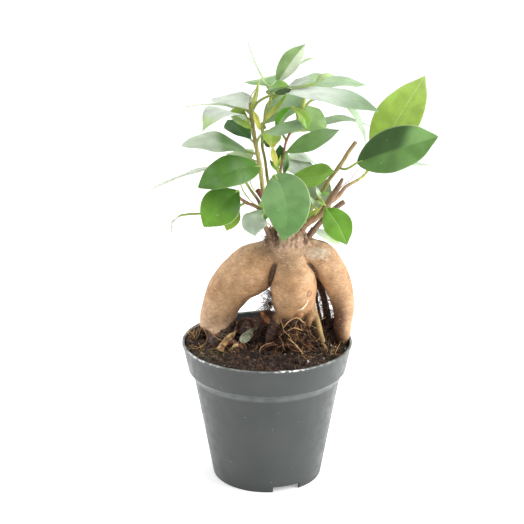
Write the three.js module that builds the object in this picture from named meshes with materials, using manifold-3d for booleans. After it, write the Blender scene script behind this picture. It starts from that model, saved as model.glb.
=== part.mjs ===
// Ficus ginseng bonsai in a grey nursery pot.
// Millimetres, +Z up. The origin is the centre of the disc that the pot stands on.
// The front of the plant, with its large hanging leaf, faces -Y.

import * as THREE from "three";
import { mergeVertices } from "three/addons/utils/BufferGeometryUtils.js";
import Module from "manifold-3d";

const wasm = await Module();
wasm.setup();

// The pot is a 12 cm nursery pot.
const POT_HEIGHT = 100;
const RIM_RADIUS = 60;
const COLLAR_FOOT_RADIUS = 55.9;
const COLLAR_FOOT_Z = 80.3;
const LEDGE_RADIUS = 52.4;
const LEDGE_Z = 76.6;
const FOOT_RADIUS = 38.9;
const WALL = 1.2;
const WALL_RISE = 0.6; // the inner face turns this much above the outer one at the ledge
const BODY_SLOPE = (LEDGE_RADIUS - FOOT_RADIUS) / LEDGE_Z;
const LIP = 1.6;
const LIP_OUT = 0.5; // how far the rolled lip stands out from the collar
const LIP_HEIGHT = 2;
const LIP_ROUND = 0.5;
const FLOOR_Z = 4;
const DISC_RADIUS = 12;
const DISC_TOP_RADIUS = 14.5;
const DRAIN_HOLES = 8;
const DRAIN_RADIUS = 5;
const DRAIN_CIRCLE = 27;
const DRAIN_SIDES = 10;
const NOTCHES = 3;
const NOTCH_WIDTH = 19.5;
const NOTCH_HEIGHT = 3.8;
const NOTCH_DEPTH = 8;
const FIRST_NOTCH_DEG = 20.6; // to the right of the front
const POT_SEGMENTS = 48;

const CLEARANCE = 0.3; // between pieces that rest in or on each other
const SOIL_LEVEL = 96.3;
const SOIL_SEGMENTS = 36;
const SOIL_EDGE_RADIUS = 56.5;
const SOIL_RINGS = [SOIL_EDGE_RADIUS, 53, 47, 40, 32, 23, 12];

const BLADE_THICKNESS = 0.8;
const BLADE_NARROWEST = 0.6; // half the width at the two ends
const LONG_BLADE = 28;
const WIDE_BLADE = 22;
const STALK_RADIUS = 0.8;
const STALK_TIP_RADIUS = 0.6;
const STALK_REACH = 0.04; // how far along the midrib the stalk runs on
const STALK_SIDES = 4;
const STEM_SIDES = 6;
const ROOT_SIDES = 14;

// Each root is a path of [x, y, z, radius].
const ROOTS = {
  leftArch: [
    [13, 0, 168, 9], [2.5, 2, 160.5, 13], [-6.5, 4, 153.5, 17], [-15, 6, 146.5, 17],
    [-23, 8, 139, 15.5], [-29, 10, 130, 14.6], [-33, 11, 121, 13.3], [-35, 12, 112, 12.4],
    [-35, 12, 103, 12.6], [-34.5, 12, 94, 11], [-35, 12, 84, 8],
  ],
  bulb: [
    [15, 0, 171, 10], [15, -2, 163, 10.8], [15.7, -4, 156, 12.8], [17.8, -6, 146.5, 15.8],
    [18.4, -6, 137.5, 16.2], [18, -6, 130, 14.6], [17, -5.5, 123.5, 11], [15.5, -5, 118.5, 5],
  ],
  rightArch: [
    [21, 1, 166, 9.5], [29, 2, 163, 10.4], [36, 3, 160, 11.6], [41.5, 3, 154, 11.3],
    [46.8, 3, 146.5, 10.5], [50.4, 3, 138, 9.5], [52.8, 3, 129, 8.5], [53.8, 3, 120, 7.2],
    [53.6, 2, 112, 6.4], [53.3, 2, 105, 5.9], [52.8, 2, 98.5, 4.3], [52, 2, 91, 3.8], [49.5, 2, 83, 3],
  ],
};

// Thin roots that help to carry the crown, in the same form.
const THIN_ROOTS = {
  bulbTail: [
    [28, -6, 137, 5.5], [30.5, -5, 126, 4.4], [29.6, -4, 115, 3], [27.5, -3, 106, 1.8], [27, -3, 96, 1.4],
  ],
  olive: [
    [27, -2, 135, 2], [33, -7, 123, 2.4], [37, -10, 108.5, 2.3], [40, -11, 96, 2.1], [41, -11, 87, 1.8],
  ],
  backStout: [[34, 5, 152, 3], [40, 10, 128, 2.2], [43, 12, 111, 2.8], [43, 12, 96, 3.4], [42, 12, 86, 2.6]],
  backThin: [[30, 5, 153, 2.5], [35, 12, 126, 1.4], [38, 16, 110, 1.6], [39, 17, 96, 1.9], [39, 17, 88, 1.6]],
  dark: [[13, -5, 127, 3.6], [5.5, -8, 116, 3.8], [2, -10, 102, 3.5], [1, -11, 90, 2.8]],
  stub: [[5, -8, 114, 2.4], [0, -8, 118, 2.4], [-3.5, -7, 124, 2]],
};

// The crown that the roots carry, in the same form, and knobs as [x, y, z, radius].
const CROWN = [
  [15, 0, 156, 11.5], [15, 0, 166, 13.3], [14.3, 0, 173.5, 13.4], [14.3, 0, 179, 12], [14.3, 0, 183, 9],
];
const CROWN_KNOBS = [
  [2.5, -3, 181, 4.2], [3, -7, 176, 3.6], [26, -4, 172, 3.4], [21, -9, 177, 3.2], [9, -9, 181, 3.4],
];
const ROOT_KNOBS = [[30, -16, 136, 2.6], [23.5, -17, 124.5, 2]];

// Leafy stems. wood holds paths of [x, y, z, radius], and each leaf has
// stalk: the way from the wood to the blade, base and tip: the ends of the midrib,
// width: across the blade, face: the way its upper side looks,
// arch and bend: how far the midrib bows along and across that way,
// fold: degrees that each half is raised, curl: how far the tip turns under.
const STEMS = {
  stem_tall: {
    wood: [
      [
        [9.5, -4, 178, 2.6], [3, -6, 192.5, 2.2], [-1, -7, 204, 1.9], [-2, -7, 213.5, 1.7],
        [-4.5, -7, 227, 1.6], [-7, -6, 238, 1.5], [-9, -5, 249, 1.4], [-10.5, -4, 260, 1.3],
        [-11.5, -3, 269.5, 1.1],
      ],
      [[-0.5, -7, 201, 2], [-3, -9.5, 206.5, 2.1], [-6.5, -12, 212, 1.8]],
      [[-11, -3.5, 265, 1], [-8.5, -4, 272, 1.6], [-5.5, -5, 284.5, 0.6]],
    ],
    leaves: {
      topLong: {
        stalk: [[-10.5, -3.5, 263.5], [-6.5, -4, 270], [1.5, -6, 275]],
        base: [10, -8, 277.5], tip: [72, -26, 268.5], width: 29,
        face: [0.1, -0.22, 1], arch: 4, fold: 8, full: true,
      },
      paleBack: {
        stalk: [[-11, -3.5, 262]],
        base: [-13.5, 4, 262.5], tip: [-35.5, 40, 264.5], width: 27,
        face: [-0.1, -0.05, 1], arch: 4, fold: 10,
      },
      edgeLime: {
        stalk: [[-11, -3, 264]],
        base: [-21, 0, 267], tip: [-54.5, -12, 268.5], width: 22,
        face: [0.1, 0.34, 1], arch: 4, fold: 6,
      },
      drooping: {
        stalk: [[-10.5, -4, 257]],
        base: [-15, -8, 259], tip: [-42, -34, 257], width: 25,
        face: [0, -0.1, 1], arch: 6, fold: 10, curl: 7,
      },
      rolled: {
        stalk: [[-10.5, -4, 258]],
        base: [-14, -2, 259], tip: [-25.5, 4, 260.5], width: 8,
        face: [0, -0.5, 0.8], arch: 1, fold: 45,
      },
      limeYoung: {
        stalk: [[-9.5, -5, 249.5]],
        base: [-13, -4, 252], tip: [-22.5, -3, 259], width: 7,
        face: [0.3, -0.6, 0.8], arch: 1, fold: 30,
      },
      darkBack: {
        stalk: [[-8.5, -5, 243]],
        base: [-12.5, 2, 244.5], tip: [-27.5, 38, 250.5], width: 22,
        face: [0.2, -0.6, 0.8], arch: 3, fold: 14,
      },
      leftLong: {
        stalk: [[-7, -6, 235.5]],
        base: [-13, 2, 235], tip: [-57.5, -8, 241.5], width: 29,
        face: [0, -0.08, 1], arch: 5, fold: 8, full: true,
      },
      paleLow: {
        stalk: [[-5.5, -6, 229.5]],
        base: [-11, 0, 230.5], tip: [-27, 24, 229], width: 20,
        face: [0, -0.2, 1], arch: 2, fold: 12,
      },
      leftArched: {
        stalk: [[-4.5, -7, 225.5]],
        base: [-9, -14, 230], tip: [-45.5, -30, 218.5], width: 27,
        face: [-0.2, -0.7, 0.75], arch: 5, fold: 10,
      },
      innerRight: {
        stalk: [[-7.5, -5.5, 242], [-5, -8, 248]],
        base: [-0.5, -10, 252], tip: [23, -26, 257], width: 25,
        face: [0, -0.25, 1], arch: 1, fold: 8,
      },
    },
  },
  stem_middle: {
    wood: [
      [
        [11.5, 3, 177.5, 2.2], [4, 1, 198, 1.8], [0.5, 0, 217.5, 1.5], [-1, 1, 229.5, 1.4],
        [-3, 2, 240.5, 1.2], [-1, 6, 256, 1.1], [2, 7, 269.5, 1], [3, 6, 279, 0.9],
      ],
    ],
    leaves: {
      upright: {
        stalk: [[2.8, 6, 277]],
        base: [5, 6, 282], tip: [25, 14, 305.5], width: 21,
        face: [-0.55, -0.8, 0.15], arch: 1, fold: 16,
      },
      limeSlim: {
        stalk: [[2.8, 6, 276.5]],
        base: [9, 10, 282.5], tip: [31.5, 26, 295], width: 12,
        face: [-0.3, 0.25, 1], arch: 2, fold: 20,
      },
      backTop: {
        stalk: [[2.6, 6.5, 275.5]],
        base: [1.5, 11, 278], tip: [-10, 46, 275], width: 23,
        face: [0, -0.1, 1], arch: 3, fold: 12,
      },
      edgeUp: {
        stalk: [[2.5, 6.5, 274.5]],
        base: [-0.5, 6, 280], tip: [-13, 6, 308.5], width: 17,
        face: [-0.87, -0.02, -0.3], arch: 1, fold: 5,
      },
      rolledTop: {
        stalk: [[2.5, 6.5, 273]],
        base: [3, 0, 276.5], tip: [13.5, -14, 286], width: 13,
        face: [0.2, -0.2, 1], arch: 2, fold: 40,
      },
      rightTop: {
        stalk: [[2.3, 7, 271], [8.5, 13, 274.5]],
        base: [14, 18, 275.5], tip: [69, 38, 274], width: 25,
        face: [0, -0.02, 1], arch: 4, fold: 10,
      },
      limeRight: {
        stalk: [[2.2, 7, 270], [14, 9, 276]],
        base: [26, 9, 279], tip: [46.5, 9, 286], width: 13,
        face: [0, -0.3, 1], arch: 2, fold: 15,
      },
      oliveTop: {
        stalk: [[2.5, 6.5, 274]],
        base: [12.5, 4, 279.5], tip: [30, -4, 287], width: 18,
        face: [0.1, -0.1, 1], arch: 3, fold: 20,
      },
      blueBack: {
        stalk: [[-1.5, 4.5, 251]],
        base: [-3, 11, 254.5], tip: [27, 42, 268.5], width: 28,
        face: [-0.2, -0.7, 0.7], arch: 3, fold: 14,
      },
      limeInner: {
        stalk: [[-0.5, 0.5, 226.5], [0, -5, 234]],
        base: [1, -10, 240], tip: [10.5, -15, 250], width: 14,
        face: [0, -0.8, 0.6], arch: 2, fold: 20,
      },
    },
  },
  stem_centre: {
    wood: [
      [
        [15.5, -1, 178.5, 1.8], [10, -2, 206, 1.3], [9, -2, 221.5, 1.2], [10.5, -1, 231, 1.1],
        [12.5, 1, 242, 1], [16, 3, 249.5, 0.9], [20.5, 5, 257.5, 0.9], [21.5, 4.5, 262, 1.2],
        [22, 4, 267, 0.6],
      ],
    ],
    leaves: {
      innerGreen: {
        stalk: [[13, 1.2, 243], [9, 4, 248.5]],
        base: [8, 5, 254.5], tip: [15.5, 2, 267], width: 13,
        face: [-0.3, -0.8, 0.5], arch: 1, fold: 28,
      },
      lobed: {
        stalk: [[16, 3, 249.5]],
        base: [24, 9, 248.5], tip: [36, 15, 263.5], width: 24,
        face: [0.1, -0.9, 0.4], arch: 2, fold: 12, full: true,
      },
      limeTwist: {
        stalk: [[20.5, 5, 257.5]],
        base: [19.5, 3, 260.5], tip: [14, -1, 268.5], width: 6,
        face: [0.3, -0.9, 0.2], arch: 1, fold: 25,
      },
      darkRight: {
        stalk: [[10.7, -1, 231.5]],
        base: [14.5, -2, 235.5], tip: [49, -8, 252], width: 19,
        face: [-0.15, -0.6, 0.8], arch: 1, fold: 14,
      },
      backRight: {
        stalk: [[15, 2.5, 248], [21.5, 15, 247]],
        base: [27, 20, 246], tip: [72, 36, 245.5], width: 17,
        face: [0, -0.1, 1], arch: 6, fold: 14,
      },
      hanging: {
        stalk: [[21, 5, 259], [30, 7, 269.5]],
        base: [47, 10, 270], tip: [67, 10, 238.5], width: 13,
        face: [0.9, -0.4, 0.5], arch: 4, fold: 22,
      },
      paleFolded: {
        stalk: [[10.2, -1.2, 229]],
        base: [14, 12, 228], tip: [35, 34, 218], width: 18,
        face: [0, -0.5, 0.9], arch: 3, fold: 18,
      },
      paleBehind: {
        stalk: [[9.2, -2, 219.5]],
        base: [13, 8, 222.5], tip: [23.5, 44, 210], width: 25,
        face: [0, -0.5, 0.9], arch: 4, fold: 12,
      },
      budLeft: {
        stalk: [[9.3, -1.8, 225]],
        base: [9, -4, 230], tip: [6, -6, 242.5], width: 8,
        face: [0.5, -0.8, 0.2], arch: 0.5, fold: 25,
      },
      budRight: {
        stalk: [[9.2, -2, 217]],
        base: [11.5, -4, 221], tip: [14, -6, 235], width: 7,
        face: [0.5, -0.8, 0.2], arch: 0.5, fold: 25,
      },
    },
  },
  stem_cut: {
    wood: [
      [
        [24, 6, 177.5, 2], [30, 7, 193, 1.6], [36.5, 8, 203.5, 1.5], [41.5, 9, 212.5, 1.4],
        [49, 10, 222.5, 1.4], [56.5, 11, 234.5, 1.4], [60.5, 11, 240, 1.4],
      ],
    ],
    leaves: {
      bigDark: {
        stalk: [[49, 10, 222.5], [52.5, 8, 221.5], [56.5, 6, 223.5]],
        base: [61, 4, 227], tip: [112, -20, 250.5], width: 31,
        face: [0.05, -0.9, 0.5], arch: 3, fold: 8, full: true,
      },
      dullBack: {
        stalk: [[41, 9, 211.5]],
        base: [42.5, 14, 212.5], tip: [30, 38, 186.5], width: 26,
        face: [0, -0.95, 0.4], arch: 2, fold: 12,
      },
    },
  },
  stem_branch: {
    wood: [
      [
        [20, -3, 177, 2.8], [24.5, -3, 184.5, 2.6], [37.5, -2, 194, 2.4],
        [41.5, -1, 200, 2.3], [47.5, 1, 209.5, 2], [51.5, 3, 216.5, 1],
      ],
      [
        [40.5, -1, 199, 1.8], [48.5, 3, 204, 1.6], [54, 7, 209.5, 1.3], [61, 11, 212.5, 1.1],
        [66.5, 14, 215.5, 1], [71.5, 16, 222, 0.9],
      ],
    ],
    leaves: {
      bigLime: {
        stalk: [[71, 16, 221.5]],
        base: [73.5, 16, 227.5], tip: [109, 36, 281], width: 34,
        face: [-0.5, -0.85, 0.2], arch: 3, fold: 12, bend: 1,
      },
      slimRight: {
        stalk: [[70.5, 15.5, 220]],
        base: [75, 18, 223], tip: [116.5, 20, 220.5], width: 5,
        face: [0, -0.5, 1], arch: 2, fold: 14,
      },
      brightRight: {
        stalk: [[28.5, -2.8, 187], [26, -7, 204]],
        base: [20.5, -8, 218], tip: [44, -24, 227.5], width: 21,
        face: [0, -0.6, 0.8], arch: -2, fold: 12,
      },
      lowRight: {
        stalk: [[38, -2, 195]],
        base: [39.5, -6, 198], tip: [53.5, -22, 176.5], width: 20,
        face: [0.1, -0.95, 0.35], arch: 3, fold: 10, bend: -1,
      },
    },
  },
  stem_low_right: {
    wood: [
      [
        [21, -2, 167.5, 2.1], [26, -2, 173.5, 2.1], [37, 2, 186, 1.9],
        [48, 6, 195.5, 1.8], [53, 8, 198.5, 1.8],
      ],
    ],
    leaves: {
      slimLow: {
        stalk: [[33.5, 1, 182]],
        base: [36.5, 4, 179.5], tip: [51, 12, 166.5], width: 12,
        face: [0.1, -0.8, 0.6], arch: 1, fold: 26,
      },
    },
  },
  stem_left: {
    wood: [
      [
        [4.5, -7, 174, 1.8], [-0.5, -11, 184, 1.7], [-3, -14, 193, 1.5],
        [-6.5, -16, 201, 1.3], [-14.5, -17, 205, 1.1], [-22.5, -19, 212, 0.8],
      ],
      [[-3.5, -14, 195, 1.3], [-5.5, -13, 204, 1.2], [-11, -14, 212.5, 1], [-15.5, -13, 219.5, 0.9]],
    ],
    leaves: {
      leftLow: {
        stalk: [[-19, -18, 209]],
        base: [-19.5, -20, 213], tip: [-42, -36, 193.5], width: 28,
        face: [-0.1, -0.9, 0.45], arch: 2, fold: 10,
      },
      limeLow: {
        stalk: [[-14.5, -17, 205]],
        base: [-19, -17, 202.5], tip: [-27.5, -24, 187.5], width: 9,
        face: [-0.2, -0.9, 0.3], arch: 1, fold: 20,
      },
      edgeGrey: {
        stalk: [[-15, -13, 218.5], [-19.5, -8, 225]],
        base: [-28, -2, 227.5], tip: [-79.5, -14, 212.5], width: 22,
        face: [0.1, 0.37, 1], arch: 2, fold: 6,
      },
      witheredCurl: {
        stalk: [[-19, -18, 209], [-28.5, -16, 201.5], [-42, -14, 196.5]],
        base: [-52, -14, 194.5], tip: [-65, -18, 181.5], width: 3.5,
        face: [0.3, -0.4, 1], arch: 4, fold: 10, curl: 2,
      },
    },
  },
  stem_front: {
    wood: [
      [
        [15, -8, 177, 1.7], [11, -13, 189, 1.5], [8, -15, 199, 1.3],
        [4.5, -18, 213.5, 1], [3, -20, 222.5, 0.9],
      ],
    ],
    leaves: {
      frontHero: {
        stalk: [[3.2, -19.8, 221]],
        base: [4.5, -24, 225.5], tip: [9.5, -42, 185], width: 34,
        face: [0.05, -1, 0.3], arch: 4, fold: 8, bend: -5,
      },
      frontSmall: {
        stalk: [[8.5, -14.5, 196]],
        base: [-3.5, -18, 197], tip: [-12, -36, 187], width: 22,
        face: [0, -0.8, 0.7], arch: 3, fold: 14,
      },
    },
  },
};

// Corners of the two scraps that lie on the soil, and the chip's thickness.
const BARK_CHIP = [[-35.5, -17, 98.4], [-32, -18, 98.1], [-20, -5, 108.6], [-22.5, -3.6, 108.6]];
const BARK_THICKNESS = 1.4;
const LEAF_SCRAP = [[-20, -5, 98.9], [-12, -6, 98.8], [-7, 7, 104.6]];

const COLOURS = {
  pot: 0x7c8280,
  soil: 0x3a2a1e,
  root_stock: 0xb48e68,
  bark_chip: 0xb08a5c,
  leaf_scrap: 0x8d9a7c,
  stem_tall: 0xa3b89a,
  stem_middle: 0x93ae86,
  stem_centre: 0x6f9658,
  stem_cut: 0x5c8a50,
  stem_branch: 0xa9c961,
  stem_low_right: 0x8a6a52,
  stem_left: 0x79a85a,
  stem_front: 0x6fa270,
};

// A closed geometry as a solid that can be joined and cut.
function solidOf(geometry) {
  const bare = geometry.clone();
  bare.deleteAttribute("normal");
  bare.deleteAttribute("uv");
  const merged = mergeVertices(bare, 1e-4);
  return new wasm.Manifold(new wasm.Mesh({
    numProp: 3,
    vertProperties: new Float32Array(merged.attributes.position.array),
    triVerts: new Uint32Array(merged.index.array),
  }));
}

function geometryOf(points, triangles) {
  return new THREE.BufferGeometry()
    .setAttribute("position", new THREE.Float32BufferAttribute(points.flatMap((p) => p.toArray()), 3))
    .setIndex(triangles);
}

function meshOf(name, solid, roughness) {
  const made = solid.getMesh();
  const geometry = new THREE.BufferGeometry()
    .setAttribute("position", new THREE.BufferAttribute(new Float32Array(made.vertProperties), 3))
    .setIndex(new THREE.BufferAttribute(new Uint32Array(made.triVerts), 1));
  geometry.computeVertexNormals();
  const material = new THREE.MeshStandardMaterial({ color: COLOURS[name], roughness, metalness: 0 });
  const mesh = new THREE.Mesh(geometry, material);
  mesh.name = name;
  return mesh;
}

// A round body along a smooth path of [x, y, z, radius], closed at both ends.
function sweep(path, sides, stepsPerSpan, grow = 0) {
  const curve = new THREE.CatmullRomCurve3(path.map(([x, y, z]) => new THREE.Vector3(x, y, z)));
  const spans = path.length - 1;
  const steps = spans * stepsPerSpan;
  const points = [];
  const triangles = [];
  let before = curve.getTangent(0);
  const side = new THREE.Vector3(0, 1, 0).cross(before).normalize();
  for (let i = 0; i <= steps; i++) {
    const t = i / steps;
    const along = curve.getTangent(t);
    side.applyQuaternion(new THREE.Quaternion().setFromUnitVectors(before, along));
    before = along;
    const span = Math.min(Math.floor(t * spans), spans - 1);
    const radius = THREE.MathUtils.lerp(path[span][3], path[span + 1][3], t * spans - span) + grow;
    const up = along.clone().cross(side);
    for (let j = 0; j < sides; j++) {
      const turn = (2 * Math.PI * j) / sides;
      points.push(curve.getPoint(t)
        .addScaledVector(side, radius * Math.cos(turn))
        .addScaledVector(up, radius * Math.sin(turn)));
    }
  }
  for (let i = 0; i < steps; i++) {
    for (let j = 0; j < sides; j++) {
      const a = i * sides + j;
      const b = i * sides + ((j + 1) % sides);
      triangles.push(a, b, b + sides, a, b + sides, a + sides);
    }
  }
  const start = points.push(curve.getPoint(0)) - 1;
  const end = points.push(curve.getPoint(1)) - 1;
  for (let j = 0; j < sides; j++) {
    const next = (j + 1) % sides;
    triangles.push(start, next, j, end, steps * sides + j, steps * sides + next);
  }
  return solidOf(geometryOf(points, triangles));
}

function ball([x, y, z, radius]) {
  const around = 10;
  const down = 6;
  return solidOf(new THREE.SphereGeometry(radius, around, down).translate(x, y, z));
}

function joined(solids) {
  return solids.reduce((all, one) => all.add(one));
}

// Half the width of a blade at t along its midrib: an ellipse-like leaf with a blunt point.
function halfWidth(leaf, t) {
  const fullness = leaf.full ? 0.66 : 0.8;
  return Math.max(BLADE_NARROWEST, (leaf.width / 2) * Math.sin(Math.PI * t) ** fullness);
}

// The midrib's point and frame at t: along the midrib, out of the upper side, and across.
function midrib(leaf, t) {
  const base = new THREE.Vector3(...leaf.base);
  const tip = new THREE.Vector3(...leaf.tip);
  const chord = tip.clone().sub(base).normalize();
  const out = new THREE.Vector3(...leaf.face);
  out.addScaledVector(chord, -out.dot(chord)).normalize();
  const across = chord.clone().cross(out);
  const curl = leaf.curl ?? 0;
  const end = tip.clone().addScaledVector(out, curl);
  const middle = base.clone().add(end).multiplyScalar(0.5)
    .addScaledVector(out, 2 * leaf.arch)
    .addScaledVector(across, 2 * (leaf.bend ?? 0));
  const curve = new THREE.QuadraticBezierCurve3(base, middle, end);
  const curlStart = 0.55;
  const turned = Math.max(0, (t - curlStart) / (1 - curlStart));
  const point = curve.getPoint(t).addScaledVector(out, -curl * turned ** 2);
  const along = curve.getTangent(t).multiplyScalar(base.distanceTo(end))
    .addScaledVector(out, (-2 * curl * turned) / (1 - curlStart))
    .normalize();
  const normal = out.clone().addScaledVector(along, -out.dot(along)).normalize();
  return { point, along, normal, side: along.clone().cross(normal) };
}

// A thin arched blade, folded along its midrib, its two faces split into triangles alike.
function blade(leaf) {
  const length = new THREE.Vector3(...leaf.base).distanceTo(new THREE.Vector3(...leaf.tip));
  const stations = length > LONG_BLADE ? 7 : 5;
  const cells = leaf.width >= WIDE_BLADE ? 4 : 2;
  const firstTurn = 0.08; // keeps the first station off the very start of the midrib
  const fold = THREE.MathUtils.degToRad(leaf.fold);
  const half = BLADE_THICKNESS / 2 / Math.cos(fold);
  const top = [];
  const bottom = [];
  for (let i = 0; i <= stations; i++) {
    const turn = Math.PI * THREE.MathUtils.lerp(firstTurn, 1, i / stations);
    const t = (1 - Math.cos(turn)) / 2;
    const { point, normal, side } = midrib(leaf, t);
    const reach = halfWidth(leaf, t);
    for (let j = 0; j <= cells; j++) {
      const s = (2 * j) / cells - 1;
      const at = point.clone()
        .addScaledVector(side, s * reach * Math.cos(fold))
        .addScaledVector(normal, Math.abs(s) * reach * Math.sin(fold));
      top.push(at.clone().addScaledVector(normal, half));
      bottom.push(at.clone().addScaledVector(normal, -half));
    }
  }
  const row = cells + 1;
  const under = top.length;
  const triangles = [];
  for (let i = 0; i < stations; i++) {
    for (let j = 0; j < cells; j++) {
      const a = i * row + j;
      const b = a + 1;
      triangles.push(a, b, b + row, a, b + row, a + row);
      triangles.push(under + a, under + b + row, under + b, under + a, under + a + row, under + b + row);
    }
    const left = i * row;
    const right = left + cells;
    triangles.push(right, under + right, under + right + row, right, under + right + row, right + row);
    triangles.push(left, under + left + row, under + left, left, left + row, under + left + row);
  }
  for (let j = 0; j < cells; j++) {
    const last = stations * row + j;
    triangles.push(j, under + j + 1, j + 1, j, under + j, under + j + 1);
    triangles.push(last, last + 1, under + last + 1, last, under + last + 1, under + last);
  }
  return solidOf(geometryOf([...top, ...bottom], triangles));
}

// The stalk runs from the wood into the start of the blade's midrib.
function stalk(leaf) {
  const way = [...leaf.stalk, leaf.base].map((point) => [...point, STALK_RADIUS]);
  const into = midrib(leaf, STALK_REACH).point;
  return sweep([...way, [...into.toArray(), STALK_TIP_RADIUS]], STALK_SIDES, 1);
}

function leafyStem(stem) {
  const wood = stem.wood.map((path) => sweep(path, STEM_SIDES, 1));
  const leaves = Object.values(stem.leaves).flatMap((leaf) => [stalk(leaf), blade(leaf)]);
  return joined([...wood, ...leaves]);
}

// Radius of the body's inner face below the ledge.
function innerRadius(z) {
  return FOOT_RADIUS + BODY_SLOPE * z - WALL;
}

// The pot's section as [radius, z]: the disc, the foot ring, the outside up to the lip, then the inside.
function potProfile() {
  const innerFloor = FLOOR_Z + WALL;
  return [
    [0, 0], [DISC_RADIUS, 0], [DISC_TOP_RADIUS, FLOOR_Z],
    [innerRadius(FLOOR_Z), FLOOR_Z], [FOOT_RADIUS - WALL, 0], [FOOT_RADIUS, 0],
    [LEDGE_RADIUS, LEDGE_Z], [COLLAR_FOOT_RADIUS, COLLAR_FOOT_Z],
    [RIM_RADIUS - LIP_OUT, POT_HEIGHT - LIP_HEIGHT], [RIM_RADIUS, POT_HEIGHT - LIP_HEIGHT + LIP_ROUND],
    [RIM_RADIUS, POT_HEIGHT - LIP_ROUND], [RIM_RADIUS - LIP_ROUND, POT_HEIGHT],
    [RIM_RADIUS - LIP, POT_HEIGHT], [RIM_RADIUS - LIP - LIP_ROUND / 2, POT_HEIGHT - LIP_ROUND],
    [COLLAR_FOOT_RADIUS - WALL, COLLAR_FOOT_Z + WALL_RISE], [LEDGE_RADIUS - WALL, LEDGE_Z + WALL_RISE],
    [innerRadius(innerFloor), innerFloor], [DISC_TOP_RADIUS - WALL, innerFloor],
    [DISC_RADIUS - WALL, WALL], [0, WALL],
  ];
}

function lathe(profile, segments) {
  const points = profile.map(([radius, z]) => new THREE.Vector2(radius, z));
  return solidOf(new THREE.LatheGeometry(points, segments).rotateX(Math.PI / 2));
}

// One solid for each of the equally spaced turns about the pot's axis, the first to the right of the front.
function turnedCopies(count, make) {
  const front = -Math.PI / 2;
  const first = front + THREE.MathUtils.degToRad(FIRST_NOTCH_DEG);
  const turns = Array.from({ length: count }, (_, i) => first + (2 * Math.PI * i) / count);
  return turns.map((turn) => solidOf(make().rotateZ(turn)));
}

function pot() {
  const shell = lathe(potProfile(), POT_SEGMENTS);
  const notches = turnedCopies(NOTCHES, () =>
    new THREE.BoxGeometry(NOTCH_DEPTH, NOTCH_WIDTH, 2 * NOTCH_HEIGHT).translate(FOOT_RADIUS, 0, 0));
  const drains = turnedCopies(DRAIN_HOLES, () =>
    new THREE.CylinderGeometry(DRAIN_RADIUS, DRAIN_RADIUS, 4 * WALL, DRAIN_SIDES)
      .rotateX(Math.PI / 2)
      .translate(DRAIN_CIRCLE, 0, FLOOR_Z + WALL / 2));
  return shell.subtract(joined([...notches, ...drains]));
}

// Soft heaps on the soil, each with a centre, a height and a radius.
const HEAPS = [
  { x: -44, y: 6, height: 4, radius: 12.6 },
  { x: 14, y: 2, height: 11, radius: 17.3 },
  { x: -22, y: -11, height: 1.5, radius: 12.6 },
];

// Height of the soil: a little below the rim, higher at the left and back, with heaps and slow waves.
function soilHeight(x, y) {
  const level = SOIL_LEVEL - 0.02 * x - 0.022 * y;
  const heaps = HEAPS.map((heap) => {
    const away = ((x - heap.x) ** 2 + (y - heap.y) ** 2) / heap.radius ** 2;
    return heap.height * Math.exp(-away);
  });
  const waves = 0.5 * Math.sin(0.31 * x + 1) * Math.cos(0.37 * y) + 0.35 * Math.sin(0.53 * y + 0.41 * x);
  return heaps.reduce((sum, height) => sum + height, level + waves);
}

// The soil ball: rings from its bottom up the inside of the pot, then in across the relief.
function soilBall() {
  const gap = CLEARANCE;
  const floor = FLOOR_Z + WALL + gap;
  const sideRings = [
    [DISC_RADIUS - WALL - gap, WALL + gap], [DISC_TOP_RADIUS - WALL - gap, floor],
    [innerRadius(floor) - gap, floor], [LEDGE_RADIUS - WALL - gap, LEDGE_Z + WALL_RISE],
    [COLLAR_FOOT_RADIUS - WALL - gap, COLLAR_FOOT_Z + WALL_RISE],
  ];
  const segments = SOIL_SEGMENTS;
  const points = [];
  const ring = (radius, heightAt) => {
    for (let j = 0; j < segments; j++) {
      const turn = (2 * Math.PI * j) / segments;
      const x = radius * Math.cos(turn);
      const y = radius * Math.sin(turn);
      points.push(new THREE.Vector3(x, y, heightAt(x, y)));
    }
  };
  sideRings.forEach(([radius, z]) => ring(radius, () => z));
  SOIL_RINGS.forEach((radius) => ring(radius, soilHeight));
  const rings = sideRings.length + SOIL_RINGS.length;
  const triangles = [];
  for (let i = 0; i < rings - 1; i++) {
    for (let j = 0; j < segments; j++) {
      const a = i * segments + j;
      const b = i * segments + ((j + 1) % segments);
      triangles.push(a, b, b + segments, a, b + segments, a + segments);
    }
  }
  const bottom = points.push(new THREE.Vector3(0, 0, WALL + gap)) - 1;
  const middle = points.push(new THREE.Vector3(0, 0, soilHeight(0, 0))) - 1;
  const lastRing = (rings - 1) * segments;
  for (let j = 0; j < segments; j++) {
    const next = (j + 1) % segments;
    triangles.push(bottom, next, j, middle, lastRing + j, lastRing + next);
  }
  return solidOf(geometryOf(points, triangles));
}

// The roots, grown by a clearance where they cut their way through the soil.
function rootSolids(grow) {
  return [
    ...Object.values(ROOTS).map((path) => sweep(path, ROOT_SIDES, 1, grow)),
    ...Object.values(THIN_ROOTS).map((path) => sweep(path, STEM_SIDES, 1, grow)),
  ];
}

// The roots and crown as one body, with a socket for each leafy stem.
function rootStock() {
  const grown = joined([
    ...rootSolids(0),
    sweep(CROWN, ROOT_SIDES, 1),
    ...CROWN_KNOBS.map(ball),
    ...ROOT_KNOBS.map(ball),
  ]);
  const sockets = Object.values(STEMS).map((stem) => sweep(stem.wood[0], STEM_SIDES, 1, CLEARANCE));
  return grown.subtract(joined(sockets));
}

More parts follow.
